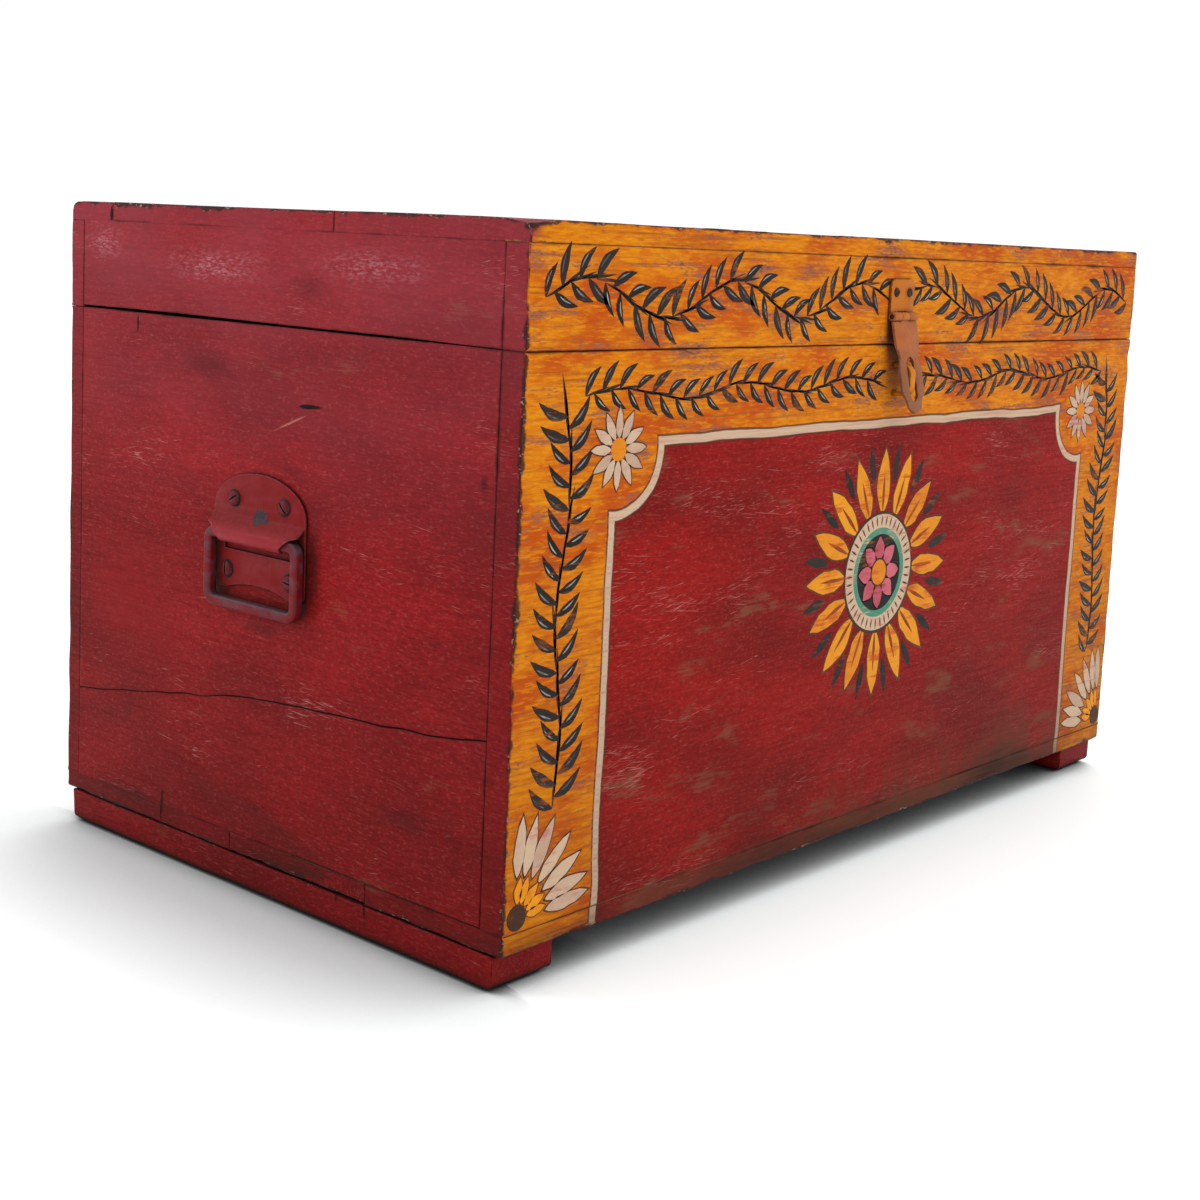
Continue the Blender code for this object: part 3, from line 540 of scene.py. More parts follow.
def worn_board(node, group, paints, flat=(), shut=(), bold=(), crack=None, knocks=()):
    """Board that replaces a solid: same box, worn arrises, slight waves, cracks and knocks.

    group holds the solids whose common box says which arrises are open, and shut names sides that
    lie against another board all the same. paints holds the material of the outside and, for sides
    named with it, the material of other faces.
    """
    low, high = (np.array(corner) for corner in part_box(node))
    boxes = np.array([[list(c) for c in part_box(other)] for other in group])
    ends = np.stack([boxes[:, 0].min(0), boxes[:, 1].max(0)], 1)
    outer = np.abs(np.stack([low, high], 1) - ends) < SAME_PLANE
    for axis, side in shut:
        outer[axis, side] = False
        (low, high)[side][axis] -= (1 - 2 * side) * CLOSED_BY
    seed = sum(ord(letter) for letter in node)
    lines = []
    for axis in range(3):
        extra = np.empty(0)
        if crack and axis == crack["across"]:
            extra = np.mean([point[1] for point in crack["path"]]) + CRACK_ROWS
        lines.append(cuts(low[axis], high[axis], extra))
    points, faces, places = box_lattice(lines)
    split = np.zeros(len(points))
    bottom = np.zeros(len(points), bool)
    if crack:
        run, across = np.array(crack["path"]).T
        level = across.mean()
        off = points[:, crack["across"]] - level
        axis, side = crack["face"]
        bottom = (np.abs(off) < 1e-6) & (places[:, axis] == side * (len(lines[axis]) - 1))
        wander = np.interp(points[:, crack["along"]], run, across) - level
        wander += CRACK_WANDER * ripple(points[:, [crack["along"]] * 3], 0.03, seed + 5)
    points, arris, seam, face_axis, face_side = rounded(points, low, high, outer, bold, seed)
    wave = BOARD_WAVE * (1 + ripple(points, 0.16, seed + 3))
    for axis in range(3):
        for side in (0, 1):
            on_face = (face_axis == axis) & (face_side == side) & outer[axis, side]
            if (axis, side) not in flat:
                points[on_face, axis] += (1 - 2 * side) * wave[on_face]
    if crack:
        fade = np.clip(1 - np.abs(off) / CRACK_FADE, 0, 1)
        points[:, crack["across"]] += wander * fade * fade * (3 - 2 * fade)
        depth = crack["depth"] * (0.7 + 0.3 * ripple(points, 0.03, seed + 4))
        axis, side = crack["face"]
        points[bottom, axis] += (1 - 2 * side) * depth[bottom]
        open_run, open_share = crack["open"]
        split[bottom] = np.interp(points[bottom, crack["along"]], open_run, open_share)
    for place, reach, push, bare in knocks:
        near = np.clip(1 - np.linalg.norm(points - place, axis=1) / reach, 0, 1)[:, None]
        points += near * near * (3 - 2 * near) * np.array(push)
        arris = np.minimum(arris, ARRIS_REACH * (1 - bare * near[:, 0]))

    mesh = new_mesh(node + "_worn", points.tolist(), faces=faces.tolist())
    for label, values in (("arris_mm", arris), ("seam_mm", seam), ("crack", split)):
        mesh.attributes.new(label, "FLOAT", "POINT").data.foreach_set("value", values.astype(np.float32))
    mesh.shade_smooth()
    for material in paints.values():
        mesh.materials.append(material)
    middles = points[faces].mean(1)
    slots = np.zeros(len(faces), np.int32)
    for number, (axis, side) in enumerate(list(paints)[1:], 1):
        edge = (low, high)[side][axis]
        slots[np.abs(middles[:, axis] - edge) < ON_FACE] = number
    mesh.polygons.foreach_set("material_index", slots)
    return place_piece(node + "_worn", mesh, node)


# %% [markdown]
# ## Bare wood inside
#
# Nobody painted the inside: there the boards are plain tropical hardwood that has darkened with
# age. It shows when the lid is open, and on the underside. Sawn wood is matt, with streaks of a
# few millimetres and dark open pores.


# %% Bare wood
WOOD_PALE = paint_chip("#8A6440")
WOOD_DARK = paint_chip("#4F3420")


def bare_wood(tree, mm, grain):
    """Colour, roughness and height of aged, unpainted hardwood."""
    broad = grain_noise(tree, mm, grain, 300, 26, 21, 3)
    streak = grain_noise(tree, mm, grain, 160, 2.6, 22, 4)
    pores = grain_noise(tree, mm, grain, 14, 1.0, 23, 2)
    share = add(tree, "Math", {0: broad, 1: 0.6, 2: streak}, operation="MULTIPLY_ADD")
    colour = laid_on(tree, WOOD_PALE, WOOD_DARK, share, 0.55, 1.05)
    colour = laid_on(tree, colour, WOOD_DARK, pores, 0.62, 0.72, 0.6)
    rough = add(tree, "MapRange", {"Value": streak, 1: 0.3, 2: 0.7, 3: 0.7, 4: 0.85})
    height = add(tree, "Math", {0: pores, 1: -0.5, 2: streak}, operation="MULTIPLY_ADD")
    return colour, rough, height


# Sawn hardwood gone dark with age: matt, finely streaked, with dark open pores
bare_length = worn_wood("bare_hardwood_along_the_length", ALONG_X, bare_wood)
bare_ends = worn_wood("bare_hardwood_across_the_ends", ALONG_Y, bare_wood)
print("bare wood:", bare_length.name, bare_ends.name)

# %% [markdown]
# ## Marigold paint and the painted panel
#
# The lid's front and a wide border of the case front are marigold, brushed thin over the grain so
# that it wavers between yellow and orange. The border leaves a red panel with hollow corners and a
# cream line round it. Its outline is one distance, worked out from the place on the front: the
# distance to a rectangle, less a quarter circle at each upper corner. Where that distance is below
# zero there is red, in the next seven millimetres cream, and outside it marigold. A hand drew it,
# so noise makes the line waver.

# %% Marigold paint
MARIGOLD_YELLOW = paint_chip("#C27003")
MARIGOLD_ORANGE = paint_chip("#AA4403")
MARIGOLD_PALE = paint_chip("#D0860A")
MARIGOLD_THIN = paint_chip("#7E3E14")
MARIGOLD_RUBBED = paint_chip("#86503A")
MARIGOLD_SPECKS = paint_chip("#3E262C")


def marigold_paint(tree, mm):
    """Colour of worn marigold paint, and the streaks that the brush left in it."""
    broad = grain_noise(tree, mm, ALONG_X, 70, 30, 31, 4)
    dabs = grain_noise(tree, mm, ALONG_X, 10, 2.0, 35, 3)
    speckle = grain_noise(tree, mm, ALONG_X, 4.5, 1.4, 36, 3)
    streak = grain_noise(tree, mm, ALONG_X, 60, 2.0, 32, 4)
    rubbed_area = grain_noise(tree, mm, ALONG_X, 55, 16, 33, 5)
    scratch = grain_noise(tree, mm, ALONG_X, 18, 1.1, 34, 2)
    colour = laid_on(tree, MARIGOLD_YELLOW, MARIGOLD_ORANGE, broad, 0.40, 0.64, smooth=True)
    colour = laid_on(tree, colour, MARIGOLD_PALE, dabs, 0.50, 0.32, 0.6)
    colour = laid_on(tree, colour, MARIGOLD_ORANGE, dabs, 0.52, 0.72, 0.6)
    colour = laid_on(tree, colour, MARIGOLD_THIN, streak, 0.52, 0.74, 0.7)
    ragged = add(tree, "Math", {0: streak, 1: 0.35, 2: rubbed_area}, operation="MULTIPLY_ADD")
    ragged = add(tree, "Math", {0: speckle, 1: 0.5, 2: ragged}, operation="MULTIPLY_ADD")
    colour = laid_on(tree, colour, MARIGOLD_RUBBED, ragged, 0.98, 1.12, 0.85, smooth=True)
    colour = laid_on(tree, colour, MARIGOLD_SPECKS, ragged, 1.13, 1.22, 0.7)
    colour = laid_on(tree, colour, MARIGOLD_THIN, speckle, 0.60, 0.72, 0.5)
    colour = laid_on(tree, colour, MARIGOLD_RUBBED, scratch, 0.66, 0.74, 0.6)
    return colour, streak


# %% Outline of the panel
FRONT_LOW, FRONT_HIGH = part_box("case_front_board")
PANEL_HALF = 1000 * FRONT_HIGH.x - 88
PANEL_TOP = 1000 * FRONT_HIGH.z - 62
PANEL_HOLLOW = 46


def panel_distance(tree, mm):
    """Millimetres outside the red panel's outline, below zero inside it."""
    across = add(tree, "SeparateXYZ", {0: mm}, "X")
    up = add(tree, "SeparateXYZ", {0: mm}, "Z")
    hand = grain_noise(tree, mm, ALONG_X, 60, 60, 41, 2)
    hand = add(tree, "MapRange", {"Value": hand, 3: -3.0, 4: 3.0})
    across = add(tree, "Math", {0: across}, operation="ABSOLUTE")
    across = add(tree, "Math", {0: across, 1: PANEL_HALF}, operation="SUBTRACT")
    up = add(tree, "Math", {0: up, 1: PANEL_TOP}, operation="SUBTRACT")
    square = add(tree, "Math", {0: across, 1: up}, operation="MAXIMUM")
    corner = add(tree, "CombineXYZ", {0: across, 1: up})
    corner = add(tree, "VectorMath", {0: corner}, "Value", operation="LENGTH")
    hollow = add(tree, "Math", {0: PANEL_HOLLOW, 1: corner}, operation="SUBTRACT")
    edge = add(tree, "Math", {0: square, 1: hollow}, operation="MAXIMUM")
    return add(tree, "Math", {0: edge, 1: hand}, operation="ADD")


# %% Paint of the fronts
CREAM = paint_chip("#B89C82")
OUTLINE = paint_chip("#3A2013")
CREAM_LINE = 7.0
BOTTOM_SMEAR, SMEAR_SIZE = (140, 0, 0), (290, 1e6, 92)
SMEAR_BROWN = paint_chip("#54301E")
PAINTED_DEPTH = 1.6


def front_only(tree, mm, front, other):
    """The front's colour on the front faces, and another on the rest of the board."""
    deep = add(tree, "SeparateXYZ", {0: mm}, "Y")
    line = 1000 * FRONT_LOW.y
    share = add(tree, "MapRange", {"Value": deep, 1: line + PAINTED_DEPTH, 2: line + 0.6 * PAINTED_DEPTH})
    return add(tree, "Mix", {0: share, 6: other, 7: front}, 2, data_type="RGBA")


def front_paint(tree, mm, grain):
    """Colour, roughness and height of the front: marigold border, cream line and red panel."""
    red, rough, height = red_paint(tree, mm, grain, WARM_RED, *FRONT_WEAR)
    marigold, streak = marigold_paint(tree, mm)
    edge = panel_distance(tree, mm)
    cream = laid_on(tree, CREAM, RED_CHALKY, streak, 0.45, 0.75, 0.6)
    colour = laid_on(tree, red, cream, edge, -0.4, 0.4)
    colour = laid_on(tree, colour, marigold, edge, CREAM_LINE - 0.4, CREAM_LINE + 0.4)
    for line in (0, CREAM_LINE):
        off = add(tree, "Math", {0: edge, 1: line}, operation="SUBTRACT")
        off = add(tree, "Math", {0: off}, operation="ABSOLUTE")
        drawn = add(tree, "Math", {0: streak, 1: 1.6, 2: off}, operation="MULTIPLY_ADD")
        colour = laid_on(tree, colour, OUTLINE, drawn, 1.7, 1.2, 0.85)
    smear = grain_noise(tree, mm, ALONG_Z, 80, 24, 42, 4)
    far = ellipse(tree, mm, BOTTOM_SMEAR, SMEAR_SIZE)
    far = add(tree, "Math", {0: smear, 1: 1.3, 2: far}, operation="MULTIPLY_ADD")
    colour = laid_on(tree, colour, SMEAR_BROWN, far, 1.70, 0.84, 0.95, smooth=True)
    level = add(tree, "SeparateXYZ", {0: mm}, "Z")
    level = add(tree, "Math", {0: smear, 1: 8.0, 2: level}, operation="MULTIPLY_ADD")
    foot = 1000 * FRONT_LOW.z
    share = add(tree, "MapRange", {"Value": level, 1: foot + 8, 2: foot, 4: 0.7})
    inside = add(tree, "MapRange", {"Value": edge, 1: 0.0, 2: -60.0})
    share = add(tree, "Math", {0: share, 1: inside}, operation="MULTIPLY")
    colour = add(tree, "Mix", {0: share, 6: colour, 7: SMEAR_BROWN}, 2, data_type="RGBA")
    return front_only(tree, mm, colour, cool_red(tree, mm, grain)[0]), rough, height


def lid_front_paint(tree, mm, grain):
    """Colour, roughness and height of the lid's front: marigold all over."""
    red, rough, height = cool_red(tree, mm, grain)
    return front_only(tree, mm, marigold_paint(tree, mm)[0], red), rough, height


# Oil paint brushed thin: marigold that wavers towards orange, with the grain showing through it
painted_front = worn_wood("marigold_and_red_oil_paint_on_the_case_front", ALONG_X, front_paint)
painted_lid_front = worn_wood("marigold_oil_paint_on_the_lid_front", ALONG_X, lid_front_paint)
print("front materials:", painted_front.name, painted_lid_front.name)

# %% [markdown]
# ## The boards of the case and the lid
#
# Every board names its solid, the boards that it is joined to, its paint outside and what shows
# inside. The long crack across the left end follows the grain. A knock has taken the lid's front
# corner, the lid has lifted a little along its seam, and the runners are worn round underneath.

# %% Groups of boards, a crack and a few knocks
LOW_X, LOW_Y, LOW_Z, HIGH_X, HIGH_Y, HIGH_Z = (0, 0), (1, 0), (2, 0), (0, 1), (1, 1), (2, 1)
CASE_WALLS = [f"case_{side}_board" for side in ("front", "back", "left", "right")]
CASE_FLOOR = [f"bottom_plank_{i}" for i in (1, 2, 3, 4)]
LID_RAILS = [f"lid_{side}_rail" for side in ("front", "back", "left", "right")]
LID_TOP = [f"lid_top_{place}_plank" for place in ("front", "middle", "back")]
INWARDS = {"front": HIGH_Y, "back": LOW_Y, "left": HIGH_X, "right": LOW_X}
CASE_END_GRAIN = {LOW_X: red_case_grain, HIGH_X: red_case_grain}
LID_END_GRAIN = {LOW_X: red_lid_grain, HIGH_X: red_lid_grain}
BACK_CORNER = 0.010
RUNNER_TOE, RUNNER_SIDE = 0.010, 0.007
OPEN_SEAM = 0.0018
left_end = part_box("case_left_board")
LEFT_CRACK = {"face": LOW_X, "along": ALONG_Y, "across": ALONG_Z, "depth": 0.0030, "open": (
    [left_end[0].y + run for run in (0.0, 0.10, 0.20, 0.30, 0.44)], (0.8, 1.0, 0.7, 0.45, 0.35)), "path": [
    (left_end[0].y + run, left_end[0].z + rise)
    for run, rise in ((0.003, 0.119), (0.049, 0.113), (0.126, 0.108), (0.231, 0.101), (0.348, 0.082),
                      (0.440, 0.067))]}
top_low, top_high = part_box("lid_top_front_plank")
lid_corner = Vector((top_low.x, top_low.y, top_high.z))
SEAM_LIFT = [(Vector((left_end[0].x, y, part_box("lid_left_rail")[0].z)), reach, (0, 0, push), 0.0)
             for y, reach, push in ((left_end[1].y - 0.06, 0.24, 0.0018), (0.0, 0.22, 0.0011),
                                    (left_end[0].y + 0.09, 0.13, 0.0008))]
CORNER_KNOCK = [(lid_corner, 0.030, (0.0022, 0.0014, -0.0026), 1.0)]
CORNER_WEAR = [(lid_corner, 0.052, (0, 0, 0), 1.15)]
# Oil paint close to the floor: the same red, worn to dark wood along the lower edges
red_runner = worn_wood("red_oil_paint_on_the_runners", ALONG_Y, marked(cool_red, BASE_JOINTS),
                       floor_dirt=0.0, arris_wear=7.8)
print("points of the crack:", len(LEFT_CRACK["path"]), "knocks:", len(SEAM_LIFT + CORNER_KNOCK))

# %% Make the boards
case_paint = {"front": painted_front, "left": red_left_end}
lid_paint = {"front": painted_lid_front, "left": red_lid_left}
boards = []
for side in INWARDS:
    lengthwise = side in ("front", "back")
    inside = bare_length if lengthwise else bare_ends
    red = red_length if lengthwise else red_ends
    case_ends, lid_ends = (CASE_END_GRAIN, LID_END_GRAIN) if lengthwise else ({}, {})
    boards.append(worn_board(f"case_{side}_board", CASE_WALLS + CASE_FLOOR,
                             {"outside": case_paint.get(side, red), INWARDS[side]: inside, **case_ends},
                             flat=(LOW_Y,) if side == "front" else (), shut=(HIGH_Z,),
                             bold=[(LOW_Y, HIGH_Z, OPEN_SEAM)] if side == "front" else [],
                             crack=LEFT_CRACK if side == "left" else None))
    boards.append(worn_board(f"lid_{side}_rail", LID_RAILS + LID_TOP,
                             {"outside": lid_paint.get(side, red), INWARDS[side]: inside, **lid_ends},
                             flat=(LOW_Y,) if side == "front" else (), shut=(LOW_Z,),
                             bold=[(LOW_Y, LOW_Z, OPEN_SEAM)] if side == "front" else [],
                             knocks=CORNER_WEAR + (SEAM_LIFT if side == "left" else [])))
for name in CASE_FLOOR:
    boards.append(worn_board(name, CASE_WALLS + CASE_FLOOR,
                             {"outside": painted_front if name == CASE_FLOOR[0] else red_length,
                              LOW_Z: bare_length, HIGH_Z: bare_length, **CASE_END_GRAIN}, shut=(HIGH_Z,)))
for name in LID_TOP:
    boards.append(worn_board(name, LID_RAILS + LID_TOP,
                             {"outside": painted_lid_front if "front" in name else red_length,
                              LOW_Z: bare_length, **LID_END_GRAIN}, shut=(LOW_Z,),
                             bold=[(HIGH_Y, HIGH_Z, BACK_CORNER)] if "back" in name else [],
                             knocks=CORNER_KNOCK + CORNER_WEAR if "front" in name else []))
for name in ("left_runner", "right_runner"):
    boards.append(worn_board(name, [name], {"outside": red_runner},
                             bold=[(LOW_Y, LOW_Z, RUNNER_TOE), (HIGH_Y, LOW_Z, RUNNER_TOE),
                                   (LOW_X, LOW_Z, RUNNER_SIDE), (HIGH_X, LOW_Z, RUNNER_SIDE)]))
print("boards:", len(boards), "faces:", sum(len(b.data.polygons) for b in boards))

# %% [markdown]
# ## Painted iron
#
# The handles and hinges are stamped mild steel, brushed over with the red of the wood, and the
# hasp with the orange of the front. Paint holds badly on iron: it fades, is rubbed paler on the
# handles' troughs that stand out, wears through on every edge, and comes off in flakes that show
# nearly black steel. The troughs also carry a painted highlight, the bails a painted violet-grey
# reflection on their upper sides, and every fitting painted shade in its hollows and creases. The
# Bevel node finds the edges. It gives the normal that a rounded edge would have, and where that
# turns away from the real normal, an edge is near.

# %% Painted iron
IRON_DARK = paint_chip("#241C1E")
IRON_WORN = paint_chip("#443840")
EDGE_REACH = 0.0016
CREASE_SHADE_REACH = 0.0030
FLAKE_SIZE = (30, 11, 8)


def painted_iron(name, paint, faded, rubbed, bare_share, flake=None):
    """Material of painted steel.

    paint is a colour or a function that makes one, faded and rubbed are hex values, and flake is
    the place in millimetres of one large chip.
    """
    material = new_material(name)
    tree = material.node_tree
    mm = millimetres(tree)
    paint = paint(tree, mm) if callable(paint) else paint
    blotch = grain_noise(tree, mm, ALONG_X, 16, 16, 51, 3)
    nibble = grain_noise(tree, mm, ALONG_X, 3.5, 3.5, 52, 4)
    grit = grain_noise(tree, mm, ALONG_X, 1.2, 1.2, 53, 2)
    colour = laid_on(tree, paint, paint_chip(faded), blotch, 0.42, 0.70, 0.6)

    soft = add(tree, "Bevel", {"Radius": EDGE_REACH}, samples=4)
    true = add(tree, "NewGeometry", out="Normal")
    same = add(tree, "VectorMath", {0: soft, 1: true}, "Value", operation="DOT_PRODUCT")
    edge = add(tree, "MapRange", {"Value": same, 1: 0.995, 2: 0.88})
    share = add(tree, "Math", {0: edge, 1: nibble}, operation="MULTIPLY")
    colour = add(tree, "Mix", {0: share, 6: colour, 7: paint_chip(rubbed)}, 2, data_type="RGBA")

    worn = add(tree, "Math", {0: edge, 1: 0.32, 2: nibble}, operation="MULTIPLY_ADD")
    worn = add(tree, "Math", {0: blotch, 1: 0.25, 2: worn}, operation="MULTIPLY_ADD")
    if flake:
        far = ellipse(tree, mm, flake, FLAKE_SIZE)
        near = add(tree, "MapRange", {"Value": far, 1: 1.3, 2: 0.3, 4: 0.50})
        worn = add(tree, "Math", {0: worn, 1: near}, operation="ADD")
    bare = add(tree, "MapRange", {"Value": worn, 1: 0.92 - bare_share, 2: 0.97 - bare_share},
               interpolation_type="SMOOTHSTEP")
    steel = add(tree, "Mix", {0: grit, 6: IRON_DARK, 7: IRON_WORN}, 2, data_type="RGBA")
    colour = add(tree, "Mix", {0: bare, 6: colour, 7: steel}, 2, data_type="RGBA")
    # Painted shade: hollows and creases that two Ambient Occlusion nodes find are darkened
    for reach, unshaded_at, shaded_at in ((0.8 * PAINTED_SHADE_REACH, 0.80, 0.34), (CREASE_SHADE_REACH, 0.78, 0.52)):
        hollow = add(tree, "AmbientOcclusion", {"Distance": reach}, "AO", samples=4)
        colour = laid_on(tree, colour, GRIME_AND_SHADE, hollow, unshaded_at, shaded_at, 0.92)
    metal = add(tree, "Math", {0: bare, 1: 0.25}, operation="MULTIPLY")
    rough = add(tree, "MapRange", {"Value": nibble, 1: 0.3, 2: 0.7, 3: 0.38, 4: 0.58})
    height = add(tree, "Math", {0: bare, 1: -1.0, 2: blotch}, operation="MULTIPLY_ADD")
    dry(tree, colour, rough, height, relief=0.5, depth=0.0004, shine=0.10, Metallic=metal)
    return material


# %% Paint of each fitting
PLATE_OUT = 1000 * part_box("right_handle_plate")[1].x
HANDLE_SCREW = 0.0058
HANDLE_SCREWS = [f"left_handle_screw_{i}" for i in (1, 2, 3, 4)]
HASP_CORAL, HASP_BROWN = (442, 430), (414, 392)


def hasp_paint(tree, mm):
    """Paint of the hasp: marigold like the lid above, coral on the strap, rubbed grey-brown below."""
    level = add(tree, "SeparateXYZ", {0: mm}, "Z")
    brush = grain_noise(tree, mm, ALONG_X, 24, 6, 54, 4)
    level = add(tree, "Math", {0: brush, 1: 26.0, 2: level}, operation="MULTIPLY_ADD")
    colour = laid_on(tree, paint_chip("#AE6008"), paint_chip("#9E582C"), level, *HASP_CORAL)
    return laid_on(tree, colour, paint_chip("#7E5034"), level, *HASP_BROWN)


def screw_shade_and_grime(tree, mm, colour):
    """Colour with a dark ring round each screw head of a handle: painted shade and dirt."""
    ragged = grain_noise(tree, mm, ALONG_X, 4, 4, 56, 3)
    for node in HANDLE_SCREWS:
        middle = 500 * (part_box(node)[0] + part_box(node)[1])
        far = ellipse(tree, mm, middle, (1e6, 1, 1))
        off = add(tree, "Math", {0: far, 1: 1000 * HANDLE_SCREW}, operation="SUBTRACT")
        off = add(tree, "Math", {0: off}, operation="ABSOLUTE")
        off = add(tree, "Math", {0: ragged, 1: 2.2, 2: off}, operation="MULTIPLY_ADD")
        # Painted shade and dirt: a dark ring where each screw head meets the plate
        colour = laid_on(tree, colour, IRON_DARK, off, 2.9, 1.5, 0.9)
    return colour


def screw_paint(tree, mm):
    """Paint of the handles' screws: red with painted shade and dirt round the rim."""
    return screw_shade_and_grime(tree, mm, paint_chip("#5C0E12"))


def plate_paint(tree, mm):
    """Paint of the handle plates: paler on the trough, which stands out, with rubbing and a painted
    highlight.
    """
    out = add(tree, "SeparateXYZ", {0: mm}, "X")
    out = add(tree, "Math", {0: out}, operation="ABSOLUTE")
    # Painted highlight and rubbed paint: the trough, furthest out, is paler
    red = laid_on(tree, paint_chip("#6E0509"), paint_chip("#8C222C"), out, PLATE_OUT - 6.0, PLATE_OUT, 0.8)
    return screw_shade_and_grime(tree, mm, red)


def bail_paint(tree, mm):
    """Paint of the bails: red with a painted violet-grey reflection on the upper sides."""
    # Painted reflection: the upper sides turn violet-grey
    up = add(tree, "TexCoord", out="Normal")
    up = add(tree, "SeparateXYZ", {0: up}, "Z")
    patch = grain_noise(tree, mm, ALONG_Y, 18, 7, 55, 4)
    up = add(tree, "Math", {0: patch, 1: 1.6, 2: up}, operation="MULTIPLY_ADD")
    return laid_on(tree, paint_chip("#68090D"), paint_chip("#544049"), up, 0.70, 1.25, 0.95)


# %% Materials of the fittings
HANDLE_FLAKE = (1000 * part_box("left_handle_plate")[1].x, 9.0, 269.0)
# Oil paint on stamped steel: crimson, paler on the raised trough with rubbing and a painted highlight,
# flaked off to dark iron
red_iron = painted_iron("red_oil_paint_on_stamped_steel", plate_paint, "#76141A", "#A05058", 0.0,
                        HANDLE_FLAKE)
# Painted screw heads: a darker red, with painted shade and dirt round the rim
screw_iron = painted_iron("red_paint_on_worn_screws", screw_paint, "#52181C", "#8E6068", 0.08)
# A bail with a painted violet-grey reflection on its upper sides, and edges worn by hands
grip_iron = painted_iron("red_paint_worn_from_a_steel_bail", bail_paint, "#4A1A22", "#5E4656", 0.10)
# The hasp's sheet steel: marigold above, coral and grey-brown where it is rubbed
orange_iron = painted_iron("orange_oil_paint_on_sheet_steel", hasp_paint, "#84452A", "#8A7466", 0.06)
# The staple's steel: brushed over with the marigold of the front
gold_iron = painted_iron("marigold_oil_paint_on_a_steel_staple", MARIGOLD_YELLOW, "#8A4A10", "#B08A50",
                         0.03)
# Steel that has lost its paint: nearly black, paler and a little shinier along its edges
worn_iron = painted_iron("dark_worn_steel", paint_chip("#33241C"), "#4A3A32", "#7A6A60", 0.16)
IRON_OF_SLOT = {"red_painted_steel": red_iron, "orange_painted_steel": orange_iron,
                "worn_steel": worn_iron}
print("iron:", red_iron.name, screw_iron.name, grip_iron.name, orange_iron.name, worn_iron.name)

# %% [markdown]
# ## Softened fittings
#
# Stamped sheet has rounded edges, and paint rounds them further. Plates, hinge leaves, pins, the
# strap and the staple keep the shape of their solids. Each gets a copy whose loose triangles are
# merged, whose flat faces are joined again, and whose sharp edges are bevelled by a fraction of
# a millimetre.

# %% Soften the fittings
SHARP, CREASE = math.radians(32), math.radians(40)
SHEET_ROUND, SMALL_ROUND = 0.0005, 0.0003


def softened(node, round_off):
    """Copy of a fitting with rounded edges and its paint."""
    shape = bmesh.new()
    shape.from_mesh(frame["nodes"][node].data)
    bmesh.ops.remove_doubles(shape, verts=shape.verts, dist=1e-6)
    bmesh.ops.dissolve_limit(shape, angle_limit=math.radians(1), verts=shape.verts, edges=shape.edges)
    sharp = [edge for edge in shape.edges if edge.calc_face_angle(0) > SHARP]
    bmesh.ops.bevel(shape, geom=sharp, offset=round_off, segments=2, profile=0.5, affect="EDGES",
                    clamp_overlap=True)
    mesh = from_shape(node + "_softened", shape)
    mesh.shade_smooth()
    mesh.set_sharp_from_angle(angle=CREASE)
    mesh.materials.clear()
    mesh.materials.append(gold_iron if node == "staple" else IRON_OF_SLOT[slot_of[node]])
    return place_piece(node + "_softened", mesh, node)


fittings = [n for n in frame["nodes"] if "screw" not in n and "bail" not in n
            and ("hinge" in n or "hasp" in n or "staple" in n or "handle" in n)]
for name in fittings:
    softened(name, SHEET_ROUND if "plate" in name or "strap" in name else SMALL_ROUND)
print("softened fittings:", len(fittings))

# %% [markdown]
# ## Bails
#
# A bail is a rod bent into a ring that is open at the back: two short ends lie in the trough of
# the plate, two legs hang down, and a straight grip joins them. The blacksmith's rod is nearly
# square with rounded corners. That is a path with a section swept along it, so a node tree makes
# it: a curve from the path, a rounded square from a quadrilateral with a fillet, and Curve to Mesh.


# %% Node trees and paths
def new_tree(name, inputs):
    """Node tree with a geometry in and out and the named inputs, and the socket that gives each."""
    tree = bpy.data.node_groups.new(name, "GeometryNodeTree")
    tree.interface.new_socket("Geometry", in_out="OUTPUT", socket_type="NodeSocketGeometry")
    tree.interface.new_socket("Geometry", in_out="INPUT", socket_type="NodeSocketGeometry")
    for label, kind in inputs.items():
        tree.interface.new_socket(label, in_out="INPUT", socket_type="NodeSocket" + kind)
    return tree, {label: add(tree, "NodeGroupInput", out=label) for label in ("Geometry", *inputs)}


def end_tree(tree, shape, paint):
    """Ends a tree: real faces in the stead of instances, with their paint on them."""
    shape = add(tree, "GeometryNodeRealizeInstances", {0: shape})
    shape = add(tree, "GeometryNodeSetMaterial", {0: shape, "Material": paint})
    add(tree, "NodeGroupOutput", {0: shape})


def grown(name, tree, start, values):
    """Plain mesh that a node tree makes from a start mesh and the values of its inputs."""
    holder = set_out(name + "_start", start)
    modifier = holder.modifiers.new("nodes", "NODES")
    modifier.node_group = tree
    for socket in tree.interface.items_tree:
        if socket.in_out == "INPUT" and socket.name in values:
            modifier[socket.identifier] = values[socket.name]
    mesh = settled(holder)
    mesh.name = name
    bpy.data.objects.remove(holder)
    return mesh


def path_mesh(points, closed=False):
    """Mesh of edges through a row of points."""
    edges = [(i, i + 1) for i in range(len(points) - 1)] + ([(len(points) - 1, 0)] if closed else [])
    return new_mesh("path", [tuple(p) for p in points], edges)


def arc(middle_x, middle_y, radius, start, end, steps):
    """Points of an arc in the XY plane, with angles in degrees."""
    turns = np.radians(np.linspace(start, end, steps + 1))
    return [(middle_x + radius * math.cos(t), middle_y + radius * math.sin(t), 0) for t in turns]


